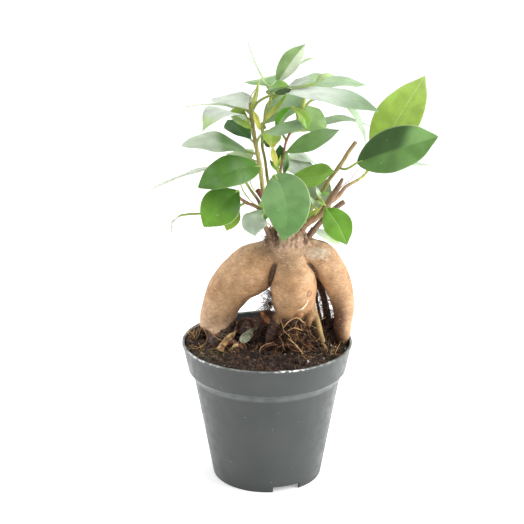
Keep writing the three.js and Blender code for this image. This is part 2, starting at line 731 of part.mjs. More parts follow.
// A flat scrap that leans on the soil: its corners, pushed out by a thickness.
function scrap(corners, thickness) {
  const outline = corners.map((corner) => new THREE.Vector3(...corner));
  const [a, b, c] = outline;
  const out = b.clone().sub(a).cross(c.clone().sub(a)).normalize().multiplyScalar(thickness);
  const points = [...outline, ...outline.map((p) => p.clone().add(out))];
  const n = outline.length;
  const triangles = [];
  for (let i = 1; i < n - 1; i++) {
    triangles.push(0, i + 1, i, n, n + i, n + i + 1);
  }
  for (let i = 0; i < n; i++) {
    const next = (i + 1) % n;
    triangles.push(i, next, n + next, i, n + next, n + i);
  }
  return solidOf(geometryOf(points, triangles));
}

const plant = new THREE.Group();
plant.add(meshOf("pot", pot(), 0.55));
plant.add(meshOf("soil", soilBall().subtract(joined(rootSolids(CLEARANCE))), 0.95));
plant.add(meshOf("root_stock", rootStock(), 0.8));
for (const [name, stem] of Object.entries(STEMS)) {
  plant.add(meshOf(name, leafyStem(stem), 0.4));
}
plant.add(meshOf("bark_chip", scrap(BARK_CHIP, BARK_THICKNESS), 0.9));
plant.add(meshOf("leaf_scrap", scrap(LEAF_SCRAP, BLADE_THICKNESS), 0.7));

export default plant;
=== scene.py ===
"""A small ficus ginseng bonsai in a grey nursery pot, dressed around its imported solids.

Lengths are millimetres in the tables and sums, and metres in the meshes. +Z is up and the front faces -Y.
Colours are as the eye sees them, 0 to 255. The last number given to clouds() is its seed.
"""

import itertools

import bpy
import numpy as np
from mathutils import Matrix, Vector


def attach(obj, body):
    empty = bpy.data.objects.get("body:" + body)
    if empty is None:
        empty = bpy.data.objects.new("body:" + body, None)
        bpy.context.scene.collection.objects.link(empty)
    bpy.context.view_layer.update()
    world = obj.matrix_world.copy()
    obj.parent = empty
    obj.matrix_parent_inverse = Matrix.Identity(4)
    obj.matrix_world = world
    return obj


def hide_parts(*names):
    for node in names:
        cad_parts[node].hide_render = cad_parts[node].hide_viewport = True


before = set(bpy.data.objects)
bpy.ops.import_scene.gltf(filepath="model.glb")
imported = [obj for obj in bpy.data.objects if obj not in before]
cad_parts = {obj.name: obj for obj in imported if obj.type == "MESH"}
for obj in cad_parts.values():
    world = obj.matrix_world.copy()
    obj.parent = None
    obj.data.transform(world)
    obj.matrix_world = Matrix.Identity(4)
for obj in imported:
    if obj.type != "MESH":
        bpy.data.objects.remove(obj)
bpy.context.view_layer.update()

MM = 0.001

# The pot, as in the part's source.
POT_HEIGHT = 100
RIM_RADIUS = 60
COLLAR_FOOT_RADIUS = 55.9
COLLAR_FOOT_Z = 80.3
LEDGE_RADIUS = 52.4
LEDGE_Z = 76.6
FOOT_RADIUS = 38.9
WALL = 1.2
LIP = 1.6
FLOOR_Z = 4
DISC_RADIUS = 12
DISC_TOP_RADIUS = 14.5
DRAIN_HOLES = 8
DRAIN_RADIUS = 5
DRAIN_CIRCLE = 27
NOTCHES = 3
NOTCH_WIDTH = 19.5
NOTCH_HEIGHT = 3.8
FIRST_NOTCH_DEG = 20.6
BODY_SLOPE = (LEDGE_RADIUS - FOOT_RADIUS) / LEDGE_Z


def leaf(stalk, base, tip, width, face, arch=0, bend=0, fold=10, curl=0, full=False, greens="mid",
         wave=0.5, point=0.3, peak=0.5, half=None, change=(0.25, 0.8), slant=0, veil=0.38):
    """A leaf as in the part's source, which has all but the smallest scales. Added to it are its green, or
    its greens at the base and tip, its edge waves, how pointed it is, how far along it is widest, the green
    of its right half where that differs, between which parts of its length the greens change and how much
    sooner at its right edge, and how far its midrib is veiled: 0 shows it whole and 0.5 all but hides it."""
    return dict(stalk=stalk, base=base, tip=tip, width=width, face=face, arch=arch, bend=bend, fold=fold,
                curl=curl, full=full, greens=greens, wave=wave, point=point, peak=peak, half=half,
                change=change, slant=slant, veil=veil)


ROOTS = {
    "left_arch": [
        (13, 0, 168, 9), (2.5, 2, 160.5, 13), (-6.5, 4, 153.5, 17), (-15, 6, 146.5, 17),
        (-23, 8, 139, 15.5), (-29, 10, 130, 14.6), (-33, 11, 121, 13.3), (-35, 12, 113, 12.9),
        (-35, 12, 107, 12.9), (-34.5, 12, 103, 11.4), (-34, 11, 97, 11), (-35, 12, 84, 8),
    ],
    "bulb": [
        (15, 0, 171, 10), (15, -2, 163, 10.8), (15.7, -4, 156, 12.8), (17.8, -6, 146.5, 15.8),
        (18.2, -6, 137.5, 16.2), (16.6, -6, 130, 14), (14.4, -6, 123.5, 10.8), (13, -6, 119, 5.5),
    ],
    "right_arch": [
        (21, 1, 166, 9.5), (29, 2, 163, 10.4), (36, 3, 160, 11.6), (41.5, 3, 154, 11.3),
        (46.8, 3, 146.5, 10.5), (50.4, 3, 138, 9.5), (52.8, 3, 129, 8.5), (53.8, 3, 120, 7.2),
        (53.6, 2, 112, 6.4), (53.3, 2, 105, 5.9), (52.8, 2, 98.5, 4.3), (52, 2, 91, 3.8),
        (49.5, 2, 83, 3),
    ],
}
THIN_ROOTS = {
    "bulb_tail": [
        (27, -8, 139, 6), (29.4, -9, 130, 4.6), (29.5, -10, 122.5, 3.2), (28, -10, 113, 2.2),
        (27, -10, 108, 1.7), (26.5, -10, 96, 1.3),
    ],
    "olive": [
        (27, -2, 135, 2), (33, -7, 123, 2.4), (37, -10, 108.5, 2.3), (40, -11, 96, 2.1), (41, -11, 87, 1.8),
    ],
    "back_stout": [
        (34, 5, 152, 3), (40, 10, 128, 2.2), (43, 12, 111, 2.8), (43, 12, 96, 3.4), (42, 12, 86, 2.6),
    ],
    "back_thin": [
        (30, 5, 153, 2.5), (35, 12, 126, 1.4), (38, 16, 110, 1.6), (39, 17, 96, 1.9), (39, 17, 88, 1.6),
    ],
    "dark": [
        (13, -5, 127, 3.6), (5.5, -8, 116, 3.8), (2, -10, 102, 3.5), (1, -11, 90, 2.8),
    ],
    "stub": [
        (5, -8, 114, 2.4), (0, -8, 118, 2.4), (-3.5, -7, 124, 2),
    ],
}
CROWN = [
    (15, 0, 156, 11.5), (15, 0, 166, 13.3), (14.3, 0, 173.5, 13.4), (14.3, 0, 179, 12), (14.3, 0, 183, 9),
]
CROWN_KNOBS = [
    (3.8, -3, 180, 3.6), (3.6, -7, 175.5, 3.5), (26, -4, 172, 3.4), (21, -9, 177, 3.2), (9, -9, 181, 3.4),
]
ROOT_KNOBS = [(28.2, -17.8, 140.5, 1.3), (22.2, -15, 124, 3.1)]
DARK_TOE = [(-33, 8, 106.5, 9), (-34, 1, 101.5, 8.4), (-35.5, -6, 96.5, 6.4), (-36, -11, 90, 3.5)]

STEMS = {
    "stem_tall": {
        "wood": [
            ([
                (9.5, -4, 178, 2.6), (2.5, -6, 192.5, 2.1), (-2, -7, 204, 1.8), (-3.3, -7, 213.5, 1.6),
                (-5, -7, 227, 1.5), (-7, -6, 238, 1.4), (-9, -5, 249, 1.35), (-10.5, -4, 260, 1.3),
                (-11.5, -3, 269.5, 1.1),
            ], "pale_olive", "olive"),
            ([(-0.5, -7, 201, 2), (-3, -9.5, 206.5, 2.1), (-6.5, -12, 212, 1.8)], "redbrown", "redbrown"),
            ([(-11, -3.5, 265, 1), (-8.5, -4, 272, 1.6), (-5.5, -5, 284.5, 0.6)], "limewood", "limewood"),
        ],
        "leaves": {
            "top_long": leaf(
                [(-10.5, -3.5, 263.5), (-6.5, -4, 270), (1.5, -6, 275)], (10, -8, 277.5), (72, -26, 268.5),
                29, (0.1, -0.22, 1), arch=4, fold=8, full=True, greens="silver slate", peak=0.56,
                change=(0.3, 0.9)),
            "pale_back": leaf(
                [(-11, -3.5, 262)], (-13.5, 4, 262.5), (-35.5, 36, 265.5), 27,
                (-0.1, -0.1, 1), arch=4, fold=10, greens="silver", peak=0.46),
            "edge_lime": leaf(
                [(-11, -3, 264)], (-21, 0, 266), (-54.5, -12, 268.5), 15,
                (0.1, 0.3, 1), arch=2, fold=6, greens="mist pale_lime"),
            "drooping": leaf(
                [(-10.5, -4, 257)], (-15, -8, 259), (-42, -34, 257), 25,
                (0, -0.1, 1), arch=6, fold=10, curl=7, greens="silver pale_lime", change=(0.72, 0.9)),
            "rolled": leaf(
                [(-10.5, -4, 258)], (-13, -2, 259), (-27, 4, 261), 11,
                (0, -0.45, 0.85), arch=1, fold=45, greens="emerald deep", half="lime"),
            "lime_young": leaf(
                [(-9.5, -5, 249.5)], (-11, -6, 253), (-24.5, -8, 261.5), 9,
                (0.2, -0.7, 0.7), arch=1, fold=26, greens="lime pale_lime"),
            "dark_back": leaf(
                [(-8.5, -5, 243)], (-10.5, 0, 243.5), (-27.5, 26, 252), 17,
                (0.2, -0.75, 0.65), arch=1, fold=12, greens="emerald", peak=0.6),
            # Its mid green base half, cut off sharply from the mist of its outer half, is a painted shadow,
            # and that mist is partly painted sheen.
            "left_long": leaf(
                [(-7, -6, 235.5)], (-13, 2, 235), (-57.5, -8, 241.5), 31,
                (0, -0.22, 1), arch=5, fold=7, full=True, greens="mid mist", wave=1,
                change=(0.38, 0.52), point=0.1),
            "bract": leaf(
                [(-10.5, -4, 260)], (-9.5, -7, 265.5), (-5, -9, 252), 4.5,
                (0.3, -0.9, 0.3), arch=0.5, fold=25, greens="straw"),
            "pale_low": leaf(
                [(-5.5, -6, 229.5)], (-11, 0, 230.5), (-27, 24, 229), 20,
                (0, -0.2, 1), arch=2, fold=12, greens="pale_lime"),
            "left_arched": leaf(
                [(-4.5, -7, 225.5)], (-5.5, -12, 228.5), (-45.5, -30, 218.5), 27,
                (-0.2, -0.7, 0.75), arch=5, fold=8, full=True, greens="fresh", point=0.2,
                peak=0.46),
            "inner_right": leaf(
                [(-7.5, -5.5, 242), (-5, -8, 248)], (-0.5, -10, 252), (23, -26, 257), 25,
                (0, -0.3, 1), arch=1, fold=8, greens="sage slate"),
        },
    },
    "stem_middle": {
        "wood": [
            ([
                (11.5, 3, 177.5, 2.1), (4, 1, 198, 1.5), (0, 0, 217.5, 1.1), (-1.5, 1, 229.5, 1),
                (-3.5, 2, 240.5, 0.95), (-2, 6, 256, 0.9), (2, 7, 269.5, 0.9), (3, 6, 279, 0.8),
            ], "olive", "limewood"),
        ],
        "leaves": {
            # Its right half is painted sheen, pale though that half faces away from the lamps.
            "upright": leaf(
                [(2.8, 6, 277)], (6.5, 6, 281), (25.5, 14, 306), 15.5,
                (-0.55, -0.8, 0.15), arch=1, bend=-0.5, fold=16, greens="lit", half="painted_sheen"),
            "lime_slim": leaf(
                [(2.8, 6, 276.5)], (9, 10, 282.5), (31.5, 26, 295), 12,
                (-0.3, 0.25, 1), arch=2, fold=20, greens="pale_lime"),
            "back_top": leaf(
                [(2.6, 6.5, 275.5)], (1.5, 11, 278), (-10, 46, 275), 25,
                (0, -0.42, 0.9), arch=3, fold=8, greens="soft pale_lime"),
            "edge_up": leaf(
                [(2.5, 6.5, 274.5)], (-0.5, 6, 280), (-13, 6, 308.5), 17,
                (-0.87, -0.02, -0.3), arch=1, fold=5, greens="lime mist"),
            "rolled_top": leaf(
                [(2.5, 6.5, 273)], (-0.5, 3, 276), (14.5, -8, 281.5), 12,
                (0.1, -0.6, 0.75), arch=1, fold=26, greens="clear lively", half="deep"),
            "rolled_lip": leaf(
                [(2.5, 6.5, 272.5)], (4.2, -8, 276.8), (16.2, -11, 280.2), 4.4,
                (0, -0.97, -0.1), arch=0.5, fold=10, greens="deep", point=0.2),
            "right_top": leaf(
                [(2.3, 7, 271), (8.5, 13, 274.5)], (14, 18, 275.5), (69, 38, 274), 27,
                (0, -0.2, 1), arch=4, fold=8, greens="sage", wave=1),
            "lime_right": leaf(
                [(2.2, 7, 270), (13, 9, 275)], (32.5, 12, 280), (44.5, 12, 285.5), 8,
                (0, -0.4, 1), arch=2, fold=15, greens="pale_lime"),
            "olive_top": leaf(
                [(2.5, 6.5, 274)], (13, 2, 279), (30, -6, 286), 12,
                (0.1, -0.4, 1), arch=1, fold=10, greens="silver clear", change=(0.8, 1)),
            "lime_fold": leaf(
                [(-3, 2.5, 246)], (-4, -1, 255), (13.5, 0, 276), 3.6,
                (-0.3, -0.9, 0.3), arch=1, bend=1, fold=20, greens="straw glow"),
            "blue_back": leaf(
                [(-1.5, 4.5, 251)], (-2, 9, 253), (27.5, 34, 269), 23,
                (-0.3, -0.7, 0.7), arch=2, bend=-1, fold=10, greens="sage soft"),
            "lime_inner": leaf(
                [(9.3, -1.8, 221.5), (5.5, -3, 228.5)], (3.5, -3, 238), (3, -6, 253.5), 13,
                (-0.1, -0.9, 0.3), arch=0, fold=18, greens="straw glow", point=0.3, peak=0.62,
                change=(0.1, 0.5)),
            "dark_inner": leaf(
                [(-3.3, 2, 240)], (-2.5, 0, 244), (1.5, -2, 239), 3.4,
                (0, -0.9, 0.3), arch=0, fold=12, greens="emerald deep", peak=0.6),
        },
    },
    "stem_centre": {
        "wood": [
            ([
                (15.5, -1, 178.5, 1.8), (10, -2, 206, 1.3), (9, -2, 221.5, 1), (10.5, -1, 231, 0.85),
                (12.5, 1, 242, 0.8), (16, 3, 249.5, 0.8),
            ], "pinkish", "redbrown"),
            ([
                (16, 3, 249.5, 0.8), (20.5, 5, 257.5, 0.8), (22, 4.5, 262, 1.1), (24, 4, 267, 1.5),
                (25, 4, 271.5, 0.7),
            ], "limewood", "limewood"),
        ],
        "leaves": {
            "inner_green": leaf(
                [(13, 1.2, 243), (9, 4, 248.5)], (5.5, 4, 252), (16, 1, 266), 9,
                (-0.3, -0.8, 0.5), arch=1, fold=24, greens="vivid", half="lit"),
            "lobed": leaf(
                [(16, 3, 249.5)], (25, 7, 249.5), (35.5, 14, 262), 23,
                (0.1, -0.9, 0.4), arch=1, fold=6, full=True, greens="lit", wave=1.6, point=0.1),
            "lime_twist": leaf(
                [(20.5, 5, 257.5), (18.5, 4, 265)], (16, 1, 265.5), (26.5, 0, 250.5), 8,
                (0.2, -0.9, 0.4), arch=1, bend=-3, fold=20, greens="glow lively", peak=0.55),
            "dark_right": leaf(
                [(10.7, -1, 231)], (12.5, -3, 236), (48, -8, 252.5), 16,
                (-0.15, -0.65, 0.8), arch=1, bend=1, fold=12, greens="clear sage", change=(0.45, 0.95)),
            "back_right": leaf(
                [(15, 2.5, 248), (21.5, 15, 247)], (27, 20, 246), (72, 36, 245.5), 17,
                (0, -0.1, 1), arch=6, fold=14, greens="sage"),
            "hanging": leaf(
                [(21, 5, 259), (30, 7, 269.5)], (47, 10, 270), (67, 10, 238.5), 11,
                (0.9, -0.4, 0.5), arch=4, fold=22, greens="sage mist"),
            "pale_folded": leaf(
                [(10.2, -1.2, 229)], (14, 12, 228), (35, 34, 218), 18,
                (0, -0.5, 0.9), arch=3, fold=18, greens="mist"),
            "pale_behind": leaf(
                [(9.2, -2, 218)], (13.5, 8, 221), (32.5, 24, 220), 20,
                (0, -0.75, 0.6), arch=2, fold=10, greens="silver mist", full=True),
            "bud_left": leaf(
                [(9.3, -1.8, 219)], (9, 1, 225), (8.5, 3, 240), 9,
                (0.2, -0.9, 0.2), arch=0.5, fold=20, greens="deep emerald"),
            "bud_right": leaf(
                [(9.2, -2, 215)], (11, -1, 220), (13.5, 0, 235.5), 5,
                (0.4, -0.8, 0.2), arch=0.5, fold=20, greens="emerald clear"),
            "cream_scale": leaf(
                [(9.2, -2, 216.5)], (6.8, -5, 224), (3.2, -6.5, 241), 4.4,
                (-0.2, -0.95, 0.15), arch=0.5, fold=12, greens="glow cream", change=(0.05, 0.3),
                peak=0.6),
            "scale_low": leaf(
                [(9.2, -2, 216)], (7, -4, 223), (1.5, -5, 231.5), 3,
                (-0.2, -0.9, 0.3), arch=0.5, fold=20, greens="lively fresh"),
            "scale_high": leaf(
                [(9.1, -2, 217)], (6.5, -4, 224.5), (9, -5, 234.5), 2.5,
                (0.2, -0.9, 0.3), arch=0.5, fold=20, greens="lively lime"),
        },
    },
    "stem_cut": {
        "wood": [
            ([
                (24, 6, 177.5, 2), (30, 7, 193, 1.6), (36.5, 8, 203.5, 1.5), (41.5, 9, 212.5, 1.4),
                (49, 10, 222.5, 1.4), (56.5, 11, 234.5, 1.4), (60.5, 11, 240, 1.4),
            ], "olive", "tan"),
        ],
        "leaves": {
            # The shade green over its base half, and the slanting edge where it turns to clear, paint the
            # shadow cast on it by the lime leaf.
            "big_dark": leaf(
                [(49, 10, 222.5), (52.5, 8, 221.5), (56.5, 6, 223.5)], (61, 4, 227), (112, -20, 250.5), 31,
                (0.05, -0.9, 0.5), arch=3, fold=8, full=True, greens="shade clear", wave=0.9,
                half="leafy", change=(0.52, 0.68), slant=0.16),
            "dull_back": leaf(
                [(41, 9, 211.5)], (42.5, 14, 212.5), (30, 38, 186.5), 26,
                (0, -0.95, 0.4), arch=2, fold=12, greens="sage slate"),
        },
    },
    "stem_branch": {
        "wood": [
            ([
                (20, -3, 177, 2.8), (24.5, -3, 184.5, 2.6), (37.5, -2, 194, 2.4), (41.5, -1, 200, 2.3),
                (47.5, 1, 209.5, 2), (51.5, 3, 216.5, 1),
            ], "branch", "brown"),
            ([
                (40.5, -1, 199, 1.8), (48.5, 3, 204, 1.6), (54, 7, 209.5, 1.3), (61, 11, 212.5, 1.1),
                (66.5, 14, 215.5, 1), (71.5, 16, 222, 0.9),
            ], "branch", "limewood"),
        ],
        "leaves": {
            "big_lime": leaf(
                [(71, 16, 221.5)], (73.5, 16, 227.5), (109, 36, 281), 34,
                (-0.5, -0.85, 0.2), arch=3, bend=1, fold=12, greens="glow", peak=0.45, veil=0),
            "slim_right": leaf(
                [(70.5, 15.5, 220)], (75, 18, 223), (116.5, 20, 220.5), 5,
                (0, -0.5, 1), arch=2, fold=14, greens="mist"),
            "bright_right": leaf(
                [(28.5, -2.8, 187), (26, -7, 204)], (16, -8, 220), (44, -24, 228), 22,
                (0, -0.6, 0.8), arch=-2, fold=10, greens="lively"),
            "sprout": leaf(
                [(24.5, -3, 184.5), (31, -5, 199)], (32.6, -6, 202.5), (40, -8, 200), 4,
                (0, -0.5, 0.9), arch=1, fold=15, greens="pale_lime lime"),
            "sprig_side": leaf(
                [(33, -3, 191), (37, -5, 202)], (34, -6, 207), (42, -6, 208.5), 3,
                (0, -0.7, 0.7), arch=0.5, fold=12, greens="clear lively"),
            "sprig_up": leaf(
                [(33, -3, 191), (37, -5, 201)], (36.5, -6, 204), (32.5, -7, 213.5), 3,
                (0, -0.8, 0.5), arch=0.5, fold=12, greens="pale_lime mist"),
            "sprig_in": leaf(
                [(31, -3, 189), (33.5, -5, 196)], (32.5, -6, 199), (28.5, -7, 206.5), 2.6,
                (0, -0.8, 0.5), arch=0.5, fold=12, greens="sage mist"),
            "lime_edge": leaf(
                [(26, -4, 186)], (26, -8, 190.5), (36.5, -8, 199), 3.2,
                (-0.4, -0.7, 0.6), arch=0.5, fold=20, greens="lime straw"),
            "low_right": leaf(
                [(38, -2, 195)], (39.5, -6, 198), (53.5, -22, 176.5), 20,
                (0.1, -0.95, 0.35), arch=3, bend=-1, fold=10, greens="bright", veil=0.1),
        },
    },
    "stem_low_right": {
        "wood": [
            ([
                (21, -2, 167.5, 2.1), (26, -2, 173.5, 2.1), (37, 2, 186, 1.9), (48, 6, 195.5, 1.8),
                (53, 8, 198.5, 1.8),
            ], "brown", "brown"),
        ],
        "leaves": {
            "slim_low": leaf(
                [(30.5, 0, 179)], (30.5, 2, 181.5), (50.5, 4, 169), 7,
                (0.1, -0.8, 0.6), arch=1, fold=20, greens="mist pale_lime"),
        },
    },
    "stem_left": {
        "wood": [
            ([
                (4.5, -7, 174, 1.8), (-0.5, -11, 184, 1.7), (-3, -14, 193, 1.5), (-6.5, -16, 201, 1.3),
                (-14.5, -17, 205, 1.1), (-22.5, -19, 212, 0.8),
            ], "brown", "twig"),
            ([
                (-3.5, -14, 195, 1.3), (-5.5, -13, 204, 1.2), (-11, -14, 212.5, 1), (-15.5, -13, 219.5, 0.9),
            ], "brown", "limewood"),
        ],
        "leaves": {
            "left_low": leaf(
                [(-19, -18, 209)], (-19.5, -20, 214), (-42, -36, 193.5), 27,
                (-0.1, -0.9, 0.45), arch=2, bend=0.5, fold=10, greens="fresh bright", point=0.1),
            "lime_low": leaf(
                [(-14.5, -17, 205)], (-20, -14, 200.5), (-27.5, -22, 186.5), 12,
                (-0.2, -0.9, 0.3), arch=1, fold=14, greens="glow", veil=0.1),
            "tuft_lime": leaf(
                [(-2, -13.5, 191)], (-4, -16, 200), (-2.5, -18, 206), 5,
                (0, -0.8, 0.5), arch=0.5, fold=14, greens="lime lively"),
            "tuft_green": leaf(
                [(-2, -13, 190)], (-1.5, -17, 200.5), (-1.5, -19, 193), 5.5,
                (0, -0.9, 0.3), arch=0.5, fold=14, greens="lively fresh"),
            "edge_grey": leaf(
                [(-15, -13, 218.5), (-19.5, -8, 225)], (-28, -2, 227.5), (-79.5, -14, 212.5), 22,
                (0.1, 0.42, 1), arch=2, fold=6, greens="silver"),
            "withered_curl": leaf(
                [(-19, -18, 209), (-28.5, -16, 201.5), (-42, -15, 197), (-53.8, -15, 196)], (-59, -15, 195),
                (-63, -17, 181.5), 2.6, (-0.9, -0.4, 0.3), arch=4, fold=10, greens="mist"),
        },
    },
    "stem_front": {
        "wood": [
            ([
                (15, -8, 177, 1.7), (11, -13, 189, 1.5), (8, -15, 199, 1.3), (4.5, -18, 213.5, 1),
                (3, -20, 222.5, 0.9),
            ], "olive", "limewood"),
        ],
        "leaves": {
            "front_hero": leaf(
                [(3.2, -19.8, 221)], (4.5, -24, 225.5), (9.5, -42, 185), 33,
                (0.05, -1, 0.3), arch=4, bend=-5.5, fold=8, greens="soft jade", peak=0.4, point=0.35),
            "front_small": leaf(
                [(8.5, -14.5, 196)], (-2, -18, 199.5), (-8, -31, 185.5), 17,
                (0, -0.8, 0.7), arch=3, bend=3.5, fold=10, greens="sage mist", wave=1.4, peak=0.6,
                change=(0.05, 0.4)),
        },
    },
}

# Leaf greens as the eye sees them. silver and mist are partly the leaves' own grey-green and partly painted
# sheen, the white light glancing off the leaf tops; painted_sheen is painted sheen alone.
GREENS = {
    "fresh": (80, 124, 46),
    "bright": (112, 162, 54),
    "mid": (112, 154, 84),
    "jade": (106, 148, 86),
    "soft": (117, 154, 97),
    "sage": (146, 172, 132),
    "mist": (190, 202, 184),
    "pale_lime": (180, 202, 142),
    "lime": (160, 192, 76),
    "glow": (160, 190, 82),
    "deep": (54, 88, 40),
    "shade": (60, 92, 48),
    "slate": (112, 140, 102),
    "silver": (188, 196, 186),
    "lit": (152, 184, 120),
    "clear": (134, 174, 106),
    "lively": (142, 186, 76),
    "vivid": (112, 182, 42),
    "emerald": (54, 104, 42),
    "straw": (208, 206, 92),
    "cream": (230, 224, 112),
    "leafy": (104, 146, 76),
    "painted_sheen": (226, 234, 214),
}
BARKS = {
    "olive": (128, 122, 58),
    "pale_olive": (164, 154, 90),
    "tan": (156, 130, 88),
    "pinkish": (176, 138, 104),
    "branch": (146, 114, 82),
    "brown": (108, 82, 62),
    "redbrown": (122, 74, 54),
    "twig": (156, 112, 80),
    "limewood": (160, 172, 84),
}


def light(colour):
    """The shader's linear numbers for a colour as the eye sees it: a straight line for the darkest, and above
    it a power of 2.4."""
    part = np.asarray(colour, float) / 255
    return np.where(part <= 0.04045, part / 12.92, ((part + 0.055) / 1.055) ** 2.4)


def unit(vectors):
    """The vectors, each brought to length 1."""
    return vectors / np.linalg.norm(vectors, axis=-1, keepdims=True)


def blend(a, b, share):
    """a where share is 0, b where it is 1, and between them a straight mix."""
    share = np.asarray(share)[..., None]
    return np.asarray(a) * (1 - share) + np.asarray(b) * share


def between(first, second, share):
    """A blend of two colours as the eye sees them."""
    return blend(light(first), light(second), share)


def toward(tint, colour, share):
    """The tint, changed by this share to a colour as the eye sees it."""
    return blend(tint, light(colour), share)


def ease(value, low, high):
    """0 below low and 1 above high, with a smooth step between."""
    part = np.clip((value - low) / (high - low), 0, 1)
    return part * part * (3 - 2 * part)


def clouds(points, size, seed):
    """A smooth random field from -1 to 1: random numbers at the corners of cubes of the given size,
    and between them a blend by smooth steps."""
    side = 32
    table = np.random.default_rng(seed).uniform(-1, 1, (side, side, side))
    cell = np.floor(points / size)
    part = points / size - cell
    part = part * part * (3 - 2 * part)
    total = 0
    for corner in itertools.product((0, 1), repeat=3):
        weight = np.prod(np.where(np.array(corner, bool), part, 1 - part), axis=-1)
        i, j, k = np.moveaxis((cell.astype(int) + corner) % side, -1, 0)
        total = total + weight * table[i, j, k]
    return total


def smooth_path(points, steps):
    """A smooth curve through the points, with this many steps a span. Each span is a cubic whose end slopes
    weigh the chords around them by the square roots of their lengths."""
    p = np.asarray(points, float)
    p = np.vstack([2 * p[0] - p[1], p, 2 * p[-1] - p[-2]])
    gap = np.sqrt(np.linalg.norm(np.diff(p[:, :3], axis=0), axis=1))[:, None]
    a, b, c = gap[:-2], gap[1:-1], gap[2:]
    p0, p1, p2, p3 = p[:-3], p[1:-2], p[2:-1], p[3:]
    start = b * ((p1 - p0) / a - (p2 - p0) / (a + b) + (p2 - p1) / b)
    end = b * ((p2 - p1) / b - (p3 - p1) / (b + c) + (p3 - p2) / c)
    t = np.linspace(0, 1, steps, endpoint=False)[None, :, None]
    p1, p2, start, end = (v[:, None] for v in (p1, p2, start, end))
    curve = (2 * t**3 - 3 * t**2 + 1) * p1 + (t**3 - 2 * t**2 + t) * start
    curve = curve + (3 * t**2 - 2 * t**3) * p2 + (t**3 - t**2) * end
    return np.vstack([curve.reshape(-1, p.shape[1]), p[-2]])


def tube(path, sides):
    """A round skin along a path of [x, y, z, radius]: centre + radius (side cos a + up sin a), where side and
    up turn with the path without twisting."""
    along = unit(np.gradient(path[:, :3], axis=0))
    side = np.empty_like(along)
    side[0] = unit(np.cross((0.1, 1, 0.05), along[0]))
    for i in range(1, len(path)):
        side[i] = unit(side[i - 1] - along[i] * (side[i - 1] @ along[i]))
    up = np.cross(along, side)
    turn = np.linspace(0, 2 * np.pi, sides, endpoint=False)[None, :, None]
    ring = np.cos(turn) * side[:, None] + np.sin(turn) * up[:, None]
    return path[:, None, :3] + path[:, None, 3:] * ring


def strands(paths, radii):
    """Thin three-sided skins along many paths at once, paths[k, i] being point i of strand k."""
    along = unit(np.gradient(paths, axis=1))
    chord = np.abs(paths[:, -1] - paths[:, 0])
    least = np.eye(3)[np.argmin(chord, axis=1)][:, None]
    side = unit(np.cross(along, least))
    up = np.cross(along, side)
    turn = np.linspace(0, 2 * np.pi, 3, endpoint=False)[:, None]
    ring = np.cos(turn) * side[:, :, None] + np.sin(turn) * up[:, :, None]
    return paths[:, :, None] + radii[..., None, None] * ring


class Skins:
    """Closed skins gathered into one mesh, with a tint and a place on its skin for each point. The first may
    be given at once."""

    def __init__(self, *first):
        self.points, self.tints, self.places, self.quads, self.fans = [], [], [], [], []
        self.count = 0
        if first:
            self.add(*first)

    def add(self, rings, tint, place=(0, 0, 0)):
        """Joins rings[k, i, j], point j of ring i of skin k, by quads, and closes each end about its
        middle."""
        rings = np.asarray(rings, float)
        if rings.ndim == 3:
            rings = rings[None]
        skins, rows, sides, _ = rings.shape
        tint = np.asarray(tint, float)
        if tint.shape[-1] == 3:
            tint = np.concatenate([tint, np.ones(tint.shape[:-1] + (1,))], axis=-1)
        for values, width, into in ((rings, 3, self.points), (tint, 4, self.tints), (place, 3, self.places)):
            values = np.broadcast_to(np.asarray(values, float), (skins, rows, sides, width))
            ends = values[:, [0, -1]].mean(axis=2)
            flat = values.reshape(skins, rows * sides, width)
            into.append(np.concatenate([flat, ends], axis=1).reshape(-1, width))
        i, j = np.meshgrid(np.arange(rows - 1), np.arange(sides), indexing="ij")
        a = i * sides + j
        b = i * sides + (j + 1) % sides
        quads = np.stack([a, b, b + sides, a + sides], axis=-1).reshape(-1, 4)
        j = np.arange(sides)
        after = (j + 1) % sides
        last = (rows - 1) * sides
        bottom = np.stack([np.full(sides, rows * sides), after, j], axis=-1)
        top = np.stack([np.full(sides, rows * sides + 1), last + j, last + after], axis=-1)
        offset = self.count + np.arange(skins)[:, None, None] * (rows * sides + 2)
        self.quads.append((quads + offset).reshape(-1, 4))
        self.fans.append((np.vstack([bottom, top]) + offset).reshape(-1, 3))
        self.count += skins * (rows * sides + 2)

    def mesh(self, name):
        """The mesh in metres, its tint and place as attributes of its points."""
        quads, fans = np.concatenate(self.quads), np.concatenate(self.fans)
        corners = np.concatenate([quads.ravel(), fans.ravel()])
        sizes = np.concatenate([np.full(len(quads), 4), np.full(len(fans), 3)])
        mesh = bpy.data.meshes.new(name)
        mesh.vertices.add(self.count)
        mesh.vertices.foreach_set("co", (np.concatenate(self.points) * MM).ravel())
        mesh.loops.add(len(corners))
        mesh.loops.foreach_set("vertex_index", corners)
        mesh.polygons.add(len(sizes))
        mesh.polygons.foreach_set("loop_start", np.cumsum(sizes) - sizes)
        mesh.polygons.foreach_set("use_smooth", np.ones(len(sizes), bool))
        mesh.update(calc_edges=True)
        paint(mesh, np.concatenate(self.tints), np.concatenate(self.places))
        return mesh


def paint(mesh, tints, places=None):
    """Gives the mesh's points their tint, and their place where there is one."""
    tint = mesh.attributes.new("tint", "FLOAT_COLOR", "POINT")
    tint.data.foreach_set("color", tints.astype(np.float32).ravel())
    if places is not None:
        place = mesh.attributes.new("place", "FLOAT_VECTOR", "POINT")
        place.data.foreach_set("vector", places.astype(np.float32).ravel())


def link(name, data):
    """A new object of this data in the scene."""
    made = bpy.data.objects.new(name, data)
    bpy.context.scene.collection.objects.link(made)
    return made


def piece(name, skins, material, slot, *nodes):
    """Puts skins into the scene as a piece that rides on the plant and stands for the given nodes."""
    mesh = skins.mesh(name)
    made = link(name, mesh)
    mesh.materials.append(material)
    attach(made, "root")
    if nodes:
        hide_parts(*nodes)
    return made


